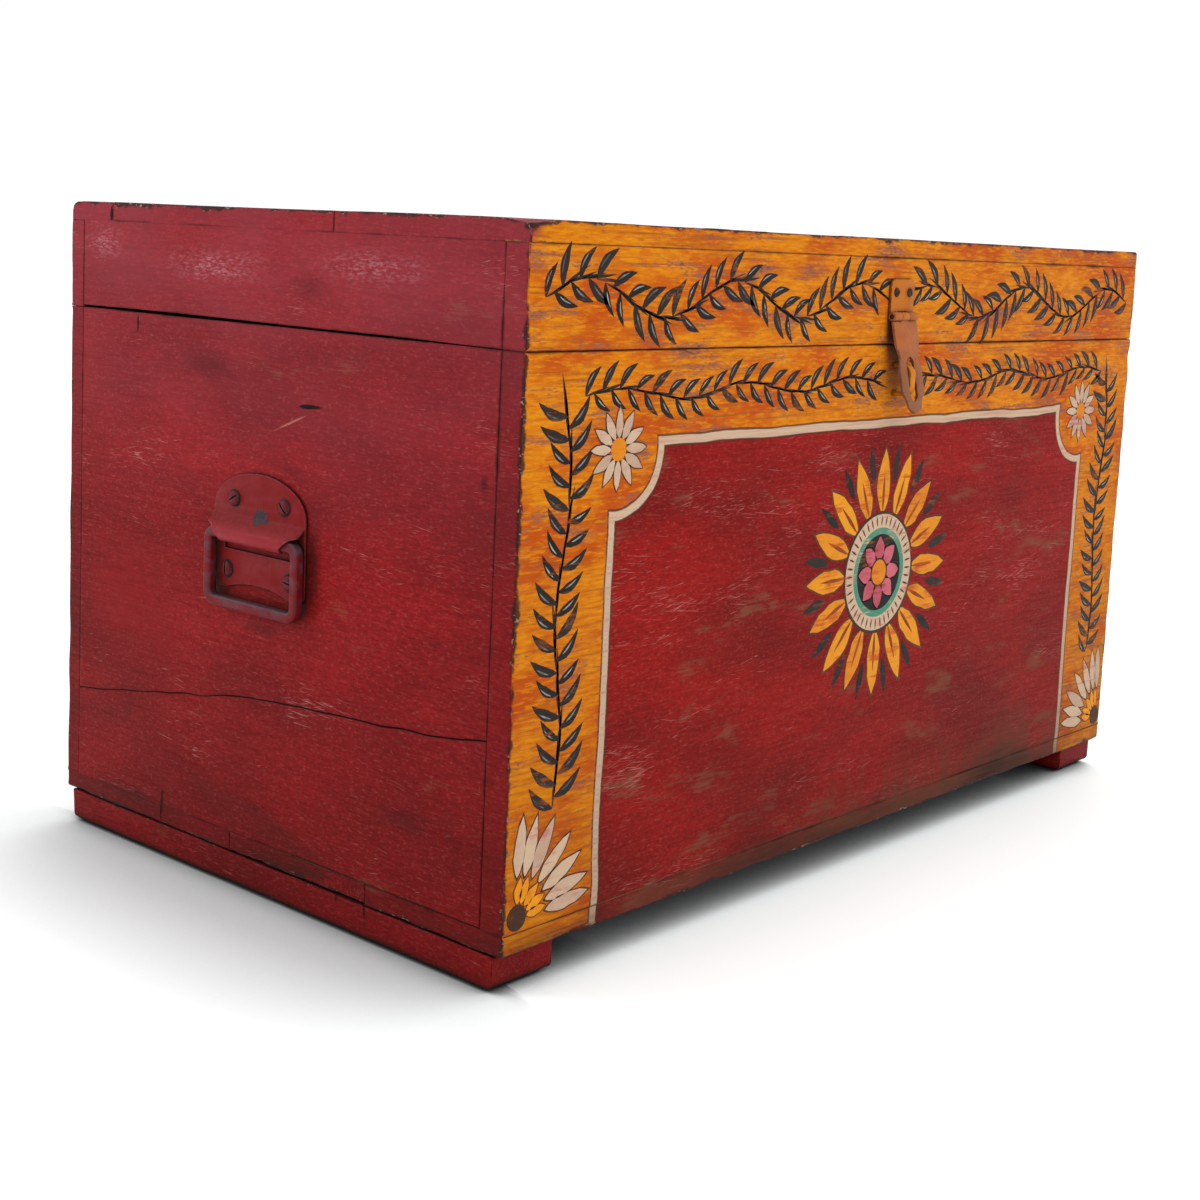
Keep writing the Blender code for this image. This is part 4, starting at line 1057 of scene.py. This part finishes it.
# %% Bent rods from a node tree
rod_tree, given = new_tree("bent_rod", {"Width": "Float", "Corner": "Float", "Paint": "Material"})
route = add(rod_tree, "GeometryNodeMeshToCurve", {0: given["Geometry"]})
section = add(rod_tree, "GeometryNodeCurvePrimitiveQuadrilateral", {"Width": given["Width"],
                                                                    "Height": given["Width"]})
section = add(rod_tree, "GeometryNodeFilletCurve", {"Curve": section, "Count": 4,
                                                    "Radius": given["Corner"]}, mode="POLY")
rod = add(rod_tree, "GeometryNodeCurveToMesh", {"Curve": route, "Profile Curve": section,
                                                "Fill Caps": True})
end_tree(rod_tree, rod, given["Paint"])
print("inputs of a bent rod:", list(given))

# %% Hang the bails
BAIL_ROD = 0.0074
BAIL_ROD_CORNER = 0.0018
BAIL_TOP_BEND, BAIL_LOW_BEND, BAIL_STUB_GAP = 0.0065, 0.0070, 0.020


def bail_route(wide, drop):
    """Middle line of a bail: stub, leg, grip, leg and stub."""
    leg, top, low = wide / 2, BAIL_TOP_BEND, BAIL_LOW_BEND
    right = [(BAIL_STUB_GAP / 2, 0, 0)] + arc(leg - top, -top, top, 90, 0, 10)
    right += arc(leg - low, low - drop, low, 0, -90, 10)
    return right + [(-x, y, 0) for x, y, z in reversed(right)]


for side, turn in (("left", -math.pi / 2), ("right", math.pi / 2)):
    node = side + "_handle_bail"
    low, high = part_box(node)
    half_rod = (high.x - low.x) / 2
    route = path_mesh(bail_route(high.y - low.y - 2 * half_rod, high.z - low.z - 2 * half_rod))
    mesh = grown(node + "_forged", rod_tree, route, {"Width": BAIL_ROD, "Corner": BAIL_ROD_CORNER,
                                                     "Paint": grip_iron})
    mesh.transform(Matrix.Translation(((low.x + high.x) / 2, (low.y + high.y) / 2, high.z - half_rod))
                   @ Matrix.Rotation(turn, 4, "Z") @ Matrix.Rotation(math.pi / 2, 4, "X"))
    mesh.shade_smooth()
    mesh.set_sharp_from_angle(angle=CREASE)
    place_piece(node + "_forged", mesh, node)
    print(node, "faces:", len(mesh.polygons))

# %% [markdown]
# ## Screws
#
# Round slotted screws hold every fitting, painted over with it. All heads are one shape in other
# sizes, so one dome with a slot is modelled, and a node tree sets it on a point for every screw:
# turned to face out of the board, and with its slot left at any angle, as a screwdriver leaves it.
# The dome is cut with a boolean once, before it is repeated.


# %% One slotted head
def slotted_head():
    """Screw head of radius 1 and height 1, with its foot on the ground and a slot across it."""
    # Half of its section: radius and height
    profile = [(0, -0.6), (0.55, -0.6), (1.0, 0), (0.96, 0.28), (0.82, 0.62), (0.58, 0.86), (0.3, 0.97),
               (0, 1)]
    shape = bmesh.new()
    rows = [shape.verts.new((r, 0, z)) for r, z in profile]
    edges = [shape.edges.new(pair) for pair in zip(rows, rows[1:])]
    bmesh.ops.spin(shape, geom=rows + edges, axis=(0, 0, 1), cent=(0, 0, 0), angle=math.tau, steps=24)
    bmesh.ops.remove_doubles(shape, verts=shape.verts, dist=1e-5)
    bmesh.ops.recalc_face_normals(shape, faces=shape.faces)
    head = set_out("screw_head", from_shape("dome", shape))
    bar = bmesh.new()
    bmesh.ops.create_cube(bar, size=1, matrix=Matrix.Diagonal((3, 0.24, 1.2, 1)))
    bmesh.ops.translate(bar, verts=bar.verts, vec=(0, 0, 1.05))
    tool = set_out("screw_slot", from_shape("slot", bar))
    cut = head.modifiers.new("slot", "BOOLEAN")
    cut.object = tool
    cut.operation = "DIFFERENCE"
    mesh = settled(head)
    for piece in (head, tool):
        bpy.data.objects.remove(piece)
    mesh.shade_smooth()
    mesh.set_sharp_from_angle(angle=math.radians(35))
    return bpy.data.objects.new("screw_head", mesh)


screw_head = slotted_head()
print("screw head faces:", len(screw_head.data.polygons))

# %% Screws on points
screw_tree, given = new_tree("screws_on_points", {"Head": "Object", "Radius": "Float", "Crown": "Float",
                                                  "Paint": "Material"})
facing = add(screw_tree, "GeometryNodeInputNamedAttribute", {"Name": "facing"}, data_type="FLOAT_VECTOR")
driven = add(screw_tree, "GeometryNodeInputNamedAttribute", {"Name": "driven"}, data_type="FLOAT")
turn = add(screw_tree, "FunctionNodeAlignRotationToVector", {"Vector": facing}, axis="Z")
spin = add(screw_tree, "FunctionNodeAxisAngleToRotation", {"Axis": (0, 0, 1), "Angle": driven})
turn = add(screw_tree, "FunctionNodeRotateRotation", {"Rotation": turn, "Rotate By": spin},
           rotation_space="LOCAL")
size = add(screw_tree, "CombineXYZ", {0: given["Radius"], 1: given["Radius"], 2: given["Crown"]})
head = add(screw_tree, "GeometryNodeObjectInfo", {"Object": given["Head"]}, "Geometry")
heads = add(screw_tree, "GeometryNodeInstanceOnPoints", {"Points": given["Geometry"], "Instance": head,
                                                         "Rotation": turn, "Scale": size})
end_tree(screw_tree, heads, given["Paint"])


def drive_screws(name, nodes, axis, side, radius, crown, paint):
    """Heads for a group of screws that face along one axis, one mesh in the stead of their solids."""
    chance = np.random.default_rng(len(nodes) + sum(ord(letter) for letter in name))
    places = []
    for node in nodes:
        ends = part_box(node)
        place = (ends[0] + ends[1]) / 2
        place[axis] = ends[side][axis] + (1 - 2 * side) * crown
        places.append(tuple(place))
    points = new_mesh("points", places)
    out = np.zeros((len(nodes), 3), np.float32)
    out[:, axis] = 2 * side - 1
    points.attributes.new("facing", "FLOAT_VECTOR", "POINT").data.foreach_set("vector", out.ravel())
    points.attributes.new("driven", "FLOAT", "POINT").data.foreach_set(
        "value", chance.uniform(0, math.pi, len(nodes)).astype(np.float32))
    mesh = grown(name, screw_tree, points, {"Head": screw_head, "Radius": radius, "Crown": crown,
                                            "Paint": paint})
    place_piece(name, mesh, *nodes)
    print(name, "screws:", len(nodes), "faces:", len(mesh.polygons))


HINGE_SCREW, HASP_SCREW = 0.0040, 0.0034
HIGH_CROWN, LOW_CROWN = 0.0024, 0.0014
for side, way in (("left", LOW_X), ("right", HIGH_X)):
    drive_screws(side + "_handle_screws", [f"{side}_handle_screw_{i}" for i in (1, 2, 3, 4)], *way,
                 HANDLE_SCREW, HIGH_CROWN, screw_iron)
    for leaf in ("case", "lid"):
        drive_screws(f"{side}_hinge_{leaf}_screws",
                     [f"{side}_hinge_{leaf}_leaf_screw_{i}" for i in (1, 2, 3)], *HIGH_Y,
                     HINGE_SCREW, LOW_CROWN, red_iron)
drive_screws("hasp_screws", ["hasp_screw_1", "hasp_screw_2"], *LOW_Y, HASP_SCREW, LOW_CROWN, worn_iron)
bpy.data.objects.remove(screw_head)

# %% [markdown]
# ## Brush strokes
#
# The front carries a folk garland: leafy stems up the sides, along the top and across the lid, a
# large rosette in the middle, and a daisy in each hollow corner. Each mark is one stroke of a
# round brush, thick in the middle and thin at its ends, and paint has a thickness. So a stroke is
# a flat closed leaf of paint, a tenth of a millimetre high, and later coats lie on earlier ones. A
# node tree sets strokes along any line, on one side or on both in turn, with a little chance in
# their angle and size. A picture could be drawn in a shader too, but a tree of strokes is easy to
# change.

# %% Paint of the strokes
CHARCOAL = paint_chip("#120E0C")


def brush_paint(name, colour, second, ground, cover):
    """Oil paint from a brush: two mixed tints, and the ground showing where the brush ran dry."""
    material = new_material(name)
    tree = material.node_tree
    mm = millimetres(tree)
    pick = add(tree, "Attribute", out="Fac", attribute_name="pick")
    broad = grain_noise(tree, mm, ALONG_X, 12, 7, 61, 3)
    streak = grain_noise(tree, mm, ALONG_X, 60, 1.6, 62, 4)
    thin = grain_noise(tree, mm, ALONG_X, 22, 9, 63, 4)
    mixed = add(tree, "Math", {0: pick, 1: 0.5, 2: broad}, operation="MULTIPLY_ADD")
    shade = laid_on(tree, colour, second, mixed, 0.5, 1.0)
    worn = add(tree, "Math", {0: streak, 1: 0.6, 2: thin}, operation="MULTIPLY_ADD")
    shade = laid_on(tree, shade, ground, worn, cover, cover + 0.16, 0.85)
    rough = add(tree, "MapRange", {"Value": streak, 1: 0.3, 2: 0.7, 3: 0.42, 4: 0.6})
    dry(tree, shade, rough, streak, relief=0.4, depth=0.0003, shine=0.12, IOR=OIL_PAINT_IOR)
    return material


# Oil paint from a round brush: two tints that mix in the stroke, a soft sheen, and the ground
# showing through where the brush ran dry
leaf_dark = brush_paint("charcoal_oil_paint_strokes", CHARCOAL, paint_chip("#241C18"), MARIGOLD_THIN,
                        0.88)
leaf_light = brush_paint("grey_white_oil_paint_strokes", paint_chip("#9A9A96"), paint_chip("#4A4644"),
                         CHARCOAL, 0.80)
line_brown = brush_paint("brown_oil_paint_lines", OUTLINE, paint_chip("#5A3018"), MARIGOLD_THIN, 0.90)
petal_cream = brush_paint("cream_oil_paint_strokes", CREAM, paint_chip("#A98A74"), RED_CHALKY, 0.86)
petal_gold = brush_paint("marigold_oil_paint_strokes", MARIGOLD_YELLOW, MARIGOLD_PALE, MARIGOLD_ORANGE,
                         0.84)
petal_rust = brush_paint("rust_oil_paint_strokes", paint_chip("#8A3A0C"), paint_chip("#6E2A0A"),
                         MARIGOLD_ORANGE, 0.86)
petal_pink = brush_paint("pink_oil_paint_strokes", paint_chip("#B85C68"), paint_chip("#A04450"),
                         WARM_RED[1], 0.88)
ring_teal = brush_paint("teal_oil_paint_strokes", paint_chip("#3F7A62"), paint_chip("#6A8A72"), CREAM,
                        0.86)
print("stroke paints:", leaf_dark.name, petal_cream.name)

# %% Shapes of the strokes
STROKE_LOW = -0.00005
STROKE_STEPS = 12
COATS = [0.00008 + 0.00005 * i for i in range(7)]


def stroke_mesh(outline, high):
    """Flat closed leaf of paint over an outline of (x, y) points."""
    count = len(outline)
    points = [(x, y, z) for z in (STROKE_LOW, high) for x, y in outline]
    walls = [(i, (i + 1) % count, count + (i + 1) % count, count + i) for i in range(count)]
    lids = [tuple(range(count))[::-1], tuple(range(count, 2 * count))]
    return new_mesh("stroke", points, faces=walls + lids)


def almond(length, width, bend, seed, start=0.0, end=1.0, lift=0.0):
    """Outline of a brush stroke along +X: thin, thick, thin, slightly bent and uneven."""
    chance = np.random.default_rng(seed)
    t = start + (end - start) * (1 - np.cos(np.linspace(0, math.pi, STROKE_STEPS))) / 2
    full = np.sin(math.pi * ((t - start) / (end - start)) ** 0.85) ** 0.9
    middle = bend * np.sin(math.pi * t) + lift
    upper = middle + width / 2 * full * (1 + chance.uniform(-0.12, 0.12, STROKE_STEPS))
    lower = middle - width / 2 * full * (1 + chance.uniform(-0.12, 0.12, STROKE_STEPS))
    there = list(zip(length * t, lower))
    back = list(zip(length * t, upper))[::-1]
    return there + back[1:-1]


def stroke_set(name, coat, seeds, length, width, bends=(0.0,), *more):
    """Collection of strokes that a tree picks from, kept out of the scene."""
    shapes = bpy.data.collections.new(name)
    for i, seed in enumerate(seeds):
        outline = almond(length, width, bends[i % len(bends)], seed, *more)
        shapes.objects.link(bpy.data.objects.new(f"{name}_{i}", stroke_mesh(outline, COATS[coat])))
    return shapes


# %% Strokes along a line
stroke_tree, given = new_tree("strokes_along_a_line", {
    "Strokes": "Collection", "Count": "Int", "Lean": "Float", "Both Sides": "Float", "Chance": "Float",
    "Size": "Float", "Seed": "Int", "Paint": "Material"})
line = add(stroke_tree, "GeometryNodeMeshToCurve", {0: given["Geometry"]})
line = add(stroke_tree, "GeometryNodeResampleCurve", {"Curve": line, "Count": given["Count"]})
index = add(stroke_tree, "GeometryNodeInputIndex")
odd = add(stroke_tree, "Math", {0: index, 1: 2.0}, operation="MODULO")
odd = add(stroke_tree, "Math", {0: odd, 1: given["Both Sides"]}, operation="MULTIPLY")
way = add(stroke_tree, "Math", {0: odd, 1: -2.0, 2: 1.0}, operation="MULTIPLY_ADD")
low = add(stroke_tree, "Math", {0: given["Chance"], 1: -1.0}, operation="MULTIPLY")
jitter = add(stroke_tree, "FunctionNodeRandomValue", {2: low, 3: given["Chance"], "Seed": given["Seed"]}, 1,
             data_type="FLOAT")
angle = add(stroke_tree, "Math", {0: way, 1: given["Lean"], 2: jitter}, operation="MULTIPLY_ADD")
growth = add(stroke_tree, "Math", {0: jitter, 1: 0.8, 2: 1.0}, operation="MULTIPLY_ADD")
growth = add(stroke_tree, "Math", {0: growth, 1: given["Size"]}, operation="MULTIPLY")
tangent = add(stroke_tree, "GeometryNodeInputTangent")
turn = add(stroke_tree, "FunctionNodeAlignRotationToVector", {"Vector": tangent}, axis="X", pivot_axis="Z")
spin = add(stroke_tree, "FunctionNodeAxisAngleToRotation", {"Axis": (0, 0, 1), "Angle": angle})
turn = add(stroke_tree, "FunctionNodeRotateRotation", {"Rotation": turn, "Rotate By": spin},
           rotation_space="LOCAL")
shapes = add(stroke_tree, "GeometryNodeCollectionInfo", {"Collection": given["Strokes"],
                                                         "Separate Children": True})
size = add(stroke_tree, "CombineXYZ", {0: growth, 1: growth, 2: 1.0})
strokes = add(stroke_tree, "GeometryNodeInstanceOnPoints", {
    "Points": line, "Instance": shapes, "Pick Instance": True, "Instance Index": index, "Rotation": turn,
    "Scale": size})
pick = add(stroke_tree, "FunctionNodeRandomValue", {2: 0.0, 3: 1.0, "Seed": given["Seed"]}, 1,
           data_type="FLOAT")
strokes = add(stroke_tree, "GeometryNodeStoreNamedAttribute", {0: strokes, "Name": "pick", "Value": pick},
              data_type="FLOAT", domain="INSTANCE")
end_tree(stroke_tree, strokes, given["Paint"])
print("inputs of a row of strokes:", list(given))

# %% [markdown]
# ## Garland, rosette and daisies
#
# The picture is drawn flat, in metres across and up, and then stood up against the front. A stem is
# a row of long strokes that overlap, and a ring is a disc with a hole. Petals sit on circles and
# lean outwards by a right angle. A petal with a brown outline is two strokes, a dark one and a
# smaller one in colour on top of it. A quarter of such a ring makes the fan at the foot of a border.

# %% Draw on the front
STAND_UP = Matrix.Translation((0, FRONT_LOW.y, 0)) @ Matrix.Rotation(math.pi / 2, 4, "X")
DISC_SIDES, DOT_SIDES, LARGEST_DOT = 48, 16, 0.01
drawn = {"case": [], "lid": []}


def stand(body, name, mesh):
    """Stands a flat drawing up against the front."""
    mesh.transform(STAND_UP)
    piece = set_out(name, mesh)
    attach(piece, body)
    drawn[body].append(piece)


def draw_strokes(body, name, points, strokes, paint, count, lean=-math.pi / 2, both=0.0, chance=0.1,
                 size=1.0, seed=0, closed=False):
    """Strokes along a line on the front, as a piece that moves with a body."""
    mesh = grown(name, stroke_tree, path_mesh(points, closed), {
        "Strokes": strokes, "Count": count, "Lean": lean, "Both Sides": both, "Chance": chance,
        "Size": size, "Seed": seed, "Paint": paint})
    stand(body, name, mesh)


def circle(middle, radius, count, turn=0.0):
    """Points round a circle, the first of them turned by so many degrees."""
    return arc(*middle, radius, turn, turn + 360 - 360 / count, count - 1)


def draw_disc(name, middle, radius, coat, paint, inner=None):
    """Disc or ring of paint on the case's front."""
    sides, high = DISC_SIDES if radius > LARGEST_DOT else DOT_SIDES, COATS[coat]
    ring = [(x, y) for x, y, z in circle(middle, radius, sides)]
    mesh = stroke_mesh(ring, high)
    if inner:
        hole = [(x, y) for x, y, z in circle(middle, inner, sides)]
        points = [(x, y, z) for z in (STROKE_LOW, high) for x, y in ring + hole]
        faces = []
        for i in range(sides):
            j = (i + 1) % sides
            a, b, c, d = i, j, sides + j, sides + i
            up = 2 * sides
            faces += [(a, d, c, b), (a + up, b + up, c + up, d + up), (a, b, b + up, a + up),
                      (d, d + up, c + up, c)]
        mesh = new_mesh(name, points, faces=faces)
    mesh.materials.append(paint)
    stand("case", name, mesh)


# %% Garlands
LEAF_LONG, LEAF_WIDE, GLINT_WIDE, STEM_WIDE = 0.026, 0.0066, 0.0011, 0.0020
LEAF_BENDS = (0.0025, -0.0025, 0.002, -0.003, 0.003, -0.002)
GLINT_START, GLINT_END, GLINT_LIFT = 0.25, 0.72, 0.0010
leaves = stroke_set("leaf", 1, range(1, 7), LEAF_LONG, LEAF_WIDE, LEAF_BENDS)
glints = stroke_set("glint", 2, range(11, 17), LEAF_LONG, GLINT_WIDE, LEAF_BENDS, GLINT_START, GLINT_END,
                    GLINT_LIFT)
stems = stroke_set("stem", 0, (21, 22, 23), LEAF_LONG, STEM_WIDE)


def garland(body, name, points, count, lean, size=1.0, seed=0):
    """Leafy stem along a line."""
    draw_strokes(body, name + "_stem", points, stems, leaf_dark, count, 0.0, 0.0, 0.12, size, seed)
    for part, shapes, paint in (("leaves", leaves, leaf_dark), ("glints", glints, leaf_light)):
        draw_strokes(body, f"{name}_{part}", points, shapes, paint, count, lean, 1.0, 0.16, size, seed)


def waving(start, end, sway, wave, across=True, steps=90):
    """Points of a line from start to end that sways to both sides."""
    (x0, y0), (x1, y1) = start, end
    points = []
    for t in np.linspace(0, 1, steps):
        far = math.hypot(x1 - x0, y1 - y0) * t
        off = sway * math.sin(math.tau * far / wave)
        points.append((x0 + (x1 - x0) * t + (0 if across else off),
                       y0 + (y1 - y0) * t + (off if across else 0), 0))
    return points


BORDER_X = (PANEL_HALF + CREAM_LINE + 1000 * FRONT_HIGH.x) / 2000
BAND_Z = (PANEL_TOP + CREAM_LINE + 1000 * FRONT_HIGH.z) / 2000
LID_Z = (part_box("lid_front_rail")[0].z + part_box("lid_front_rail")[1].z) / 2
HASP_X = (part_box("hasp_plate")[0].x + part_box("hasp_plate")[1].x) / 2
HASP_CLEAR = 0.030
FAN_HIGH, BORDER_GAP, BAND_GAP, VINE_END = 0.074, 0.012, 0.014, 0.385
for side, way in (("left", -1), ("right", 1)):
    start = (way * BORDER_X, FRONT_LOW.z + FAN_HIGH)
    end = (way * BORDER_X, BAND_Z - BORDER_GAP)
    garland("case", side + "_border", waving(start, end, 0.004, 0.16, across=False),
            count=35, lean=0.95, size=1.0, seed=1 + way)
    near, far = (HASP_X + way * HASP_CLEAR, BAND_Z), (way * (BORDER_X - BAND_GAP), BAND_Z)
    garland("case", side + "_band", waving(far, near, 0.004, 0.13), count=41, lean=0.68, size=0.84,
            seed=5 + way)
    near, far = (HASP_X + way * HASP_CLEAR, LID_Z), (way * VINE_END, LID_Z)
    garland("lid", side + "_vine", waving(far, near, 0.012, 0.150), count=49, lean=0.78, size=0.95,
            seed=9 + way)
print("garlands:", {body: len(pieces) for body, pieces in drawn.items()})

# %% Rosette and daisies
ROSETTE = (0.0, 0.226)
PETAL_SEEDS = (31, 32, 33)


def petals(name, middle, count, foot, length, width, coat, paint, line=0.0022, span=None):
    """Ring of petals with brown outlines, or a fan of them between two angles."""
    ring = arc(*middle, foot, *span, count - 1) if span else circle(middle, foot, count)
    dark = stroke_set(name + "_dark", coat, PETAL_SEEDS, length, width)
    fill = stroke_set(name + "_fill", coat + 1, PETAL_SEEDS, length, width - line, (0.0,), 0.05, 0.94)
    for part, shapes, shade in (("outlines", dark, line_brown), ("petals", fill, paint)):
        draw_strokes("case", f"{name}_{part}", ring, shapes, shade, count, chance=0.03, seed=count,
                     closed=not span)


def rosette_ring(name, coat, seeds, length, width, radius, count, paint, chance, seed, turn=0.0):
    """Ring of plain strokes in the rosette."""
    strokes = stroke_set(f"rosette_{name}_stroke", coat, seeds, length, width)
    draw_strokes("case", "rosette_" + name, circle(ROSETTE, radius, count, turn), strokes, paint, count,
                 chance=chance, seed=seed, closed=True)


# A ring names its coat, seeds, length, width, radius, count, paint, chance and seed. Petals name
# their middle, count, foot, length, width, coat, paint and outline. A disc names its middle,
# radius, coat, paint and hole. Lengths are in metres.
rosette_ring("leaves", 0, (41, 42, 43), 0.030, 0.0075, 0.070, 16, leaf_dark, 0.05, 3, 360 / 32)
petals("rosette_outer", ROSETTE, 16, 0.042, 0.056, 0.0200, 0, petal_gold, 0.0026)
rosette_ring("veins", 2, (44, 45, 46), 0.030, 0.0030, 0.047, 16, petal_rust, 0.03, 16)
draw_disc("rosette_rim", ROSETTE, 0.0475, 2, line_brown, 0.0440)
draw_disc("rosette_cream_ring", ROSETTE, 0.0450, 3, petal_cream, 0.0330)
rosette_ring("ticks", 4, (47, 48), 0.0085, 0.0016, 0.0360, 40, line_brown, 0.08, 8)
draw_disc("rosette_teal_ring", ROSETTE, 0.0345, 4, ring_teal, 0.0295)
draw_disc("rosette_ground", ROSETTE, 0.0300, 3, leaf_dark)
petals("rosette_inner", ROSETTE, 8, 0.008, 0.021, 0.0145, 3, petal_pink, 0.0016)
draw_disc("rosette_eye_rim", ROSETTE, 0.0112, 5, line_brown)
draw_disc("rosette_eye", ROSETTE, 0.0098, 6, petal_gold)
for side, way in (("left", -1), ("right", 1)):
    corner = (way * PANEL_HALF / 1000, PANEL_TOP / 1000)
    petals(side + "_daisy", corner, 12, 0.006, 0.022, 0.0090, 3, petal_cream, 0.0018)
    draw_disc(side + "_daisy_eye", corner, 0.0075, 5, petal_gold)
    foot = (way * (FRONT_HIGH.x - 0.012), FRONT_LOW.z + 0.010)
    span = (-3, 93) if way < 0 else (87, 183)
    petals(side + "_fan", foot, 7, 0.024, 0.044, 0.0125, 0, petal_cream, 0.0020, span)
    petals(side + "_small_fan", foot, 5, 0.008, 0.019, 0.0085, 2, petal_gold, 0.0016, span)
    draw_disc(side + "_fan_foot", foot, 0.0085, 5, line_brown)
print("drawn pieces:", {body: len(pieces) for body, pieces in drawn.items()})

# %% [markdown]
# ## Floor, light and camera
#
# The light is even and soft: white walls all round, as in a light tent, with a dimmer ceiling, a very
# wide overhead lamp that gives the soft shadow, and a large lamp each on the left and in front. The
# floor is white and glows a little, like a translucent table lit from below. It is darkest close
# under the trunk, and in shade on the left, away from the light: two Ambient Occlusion nodes, one
# short and one long. The camera's place was found by fitting the trunk's corners. Its picture is
# square, and the aim lies above the middle of it, which is a lens shift.

# %% Floor
FLOOR_SIZE = 30.0
FLOOR_WHITE, FLOOR_SHADE = paint_chip("#F4F8F8"), paint_chip("#303436")
FLOOR_GLOW = 0.12
SHADE_LEFT, SHADE_FRONT, SHADE_UNDER = 0.20, 0.001, 0.060
SHADE_FROM, SHADE_TO = -0.04, 0.02


def studio_floor():
    """White floor, lit a little from below, with a shade under the trunk that falls to the left."""
    half = FLOOR_SIZE / 2
    corners = [(-half, -half, 0), (half, -half, 0), (half, half, 0), (-half, half, 0)]
    mesh = new_mesh("studio_floor", corners, faces=[(0, 1, 2, 3)])
    # A matt white sheet lit from below: no gloss, and grey only where the trunk keeps the light off
    material = new_material("matt_white_floor")
    tree = material.node_tree
    place = add(tree, "TexCoord", out="Object")
    across = add(tree, "SeparateXYZ", {0: place}, "X")
    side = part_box("case_left_board")[0].x
    reach = add(tree, "MapRange", {"Value": across, 1: side + SHADE_FROM, 2: side + SHADE_TO,
                                   3: SHADE_LEFT, 4: SHADE_FRONT})
    light = add(tree, "AmbientOcclusion", {"Distance": reach}, "AO", samples=16)
    under = add(tree, "AmbientOcclusion", {"Distance": SHADE_UNDER}, "AO", samples=16)
    under = add(tree, "MapRange", {"Value": under, 1: 0.15, 2: 0.65})
    light = add(tree, "Math", {0: light, 1: under}, operation="MULTIPLY")
    colour = add(tree, "Mix", {0: light, 6: FLOOR_SHADE, 7: FLOOR_WHITE}, 2, data_type="RGBA")
    surface = add(tree, "BsdfPrincipled", {
        "Base Color": colour, "Roughness": 0.9, "Specular IOR Level": 0.1, "Emission Color": colour,
        "Emission Strength": FLOOR_GLOW})
    add(tree, "OutputMaterial", {"Surface": surface})
    mesh.materials.append(material)
    set_out("studio_floor", mesh)


studio_floor()
print("floor:", FLOOR_SIZE, "m wide")

# %% Lamps and tent
SURROUND, CEILING = 1.05, 0.40
WALLS_END, CEILING_STARTS = 0.35, 0.85
OVERHEAD = 1.75
OVERHEAD_AIM = (-0.28, 0.05, -1.0)
OVERHEAD_ANGLE = math.radians(65)
# Each soft lamp: place, aim, size in metres, power in watts
SOFT_LAMPS = {"left_lamp": ((-2.0, 1.6, 1.5), (-0.4, 0, 0.25), 1.0, 20),
              "front_lamp": ((-0.4, -2.6, 1.9), (0, 0, 0.25), 2.0, 20)}
for name, (place, aim, size, power) in SOFT_LAMPS.items():
    lamp = bpy.data.lights.new(name, "AREA")
    lamp.size, lamp.energy = size, power
    holder = set_out(name, lamp)
    holder.location = place
    holder.rotation_euler = (Vector(aim) - Vector(place)).to_track_quat("-Z", "Y").to_euler()
overhead = bpy.data.lights.new("overhead_lamp", "SUN")
overhead.energy, overhead.angle = OVERHEAD, OVERHEAD_ANGLE
holder = set_out("overhead_lamp", overhead)
holder.rotation_euler = Vector(OVERHEAD_AIM).to_track_quat("-Z", "Y").to_euler()
world = bpy.data.worlds.new("light_tent")
world.use_nodes = True
tree = world.node_tree
tree.nodes.clear()
way = add(tree, "TexCoord", out="Generated")
rise = add(tree, "SeparateXYZ", {0: way}, "Z")
glow = add(tree, "MapRange", {"Value": rise, 1: WALLS_END, 2: CEILING_STARTS, 3: SURROUND, 4: CEILING})
tent = add(tree, "Background", {"Color": (1, 1, 1, 1), "Strength": glow})
add(tree, "OutputWorld", {"Surface": tent})
bpy.context.scene.world = world
bpy.context.scene.view_settings.view_transform = "Standard"
print("lamps:", [*SOFT_LAMPS, overhead.name], "in", world.name)

# %% Camera
CAMERA_PLACE = (-1.1896, -0.9815, 0.4683)
CAMERA_HEADING = math.radians(48.962)
CAMERA_PITCH = math.radians(-7.437)
CAMERA_ROLL = math.radians(2.664)
LENS = 55.37
LENS_SHIFT = -0.1
camera_data = bpy.data.cameras.new("camera")
camera_data.sensor_width = 36
camera_data.lens = LENS
camera_data.shift_y = LENS_SHIFT
camera = set_out("camera", camera_data)
camera.matrix_world = (Matrix.Translation(CAMERA_PLACE) @ Matrix.Rotation(-CAMERA_HEADING, 4, "Z")
                       @ Matrix.Rotation(math.pi / 2 + CAMERA_PITCH, 4, "X")
                       @ Matrix.Rotation(CAMERA_ROLL, 4, "Z"))
bpy.context.scene.camera = camera
print("camera at", CAMERA_PLACE, "lens", LENS)
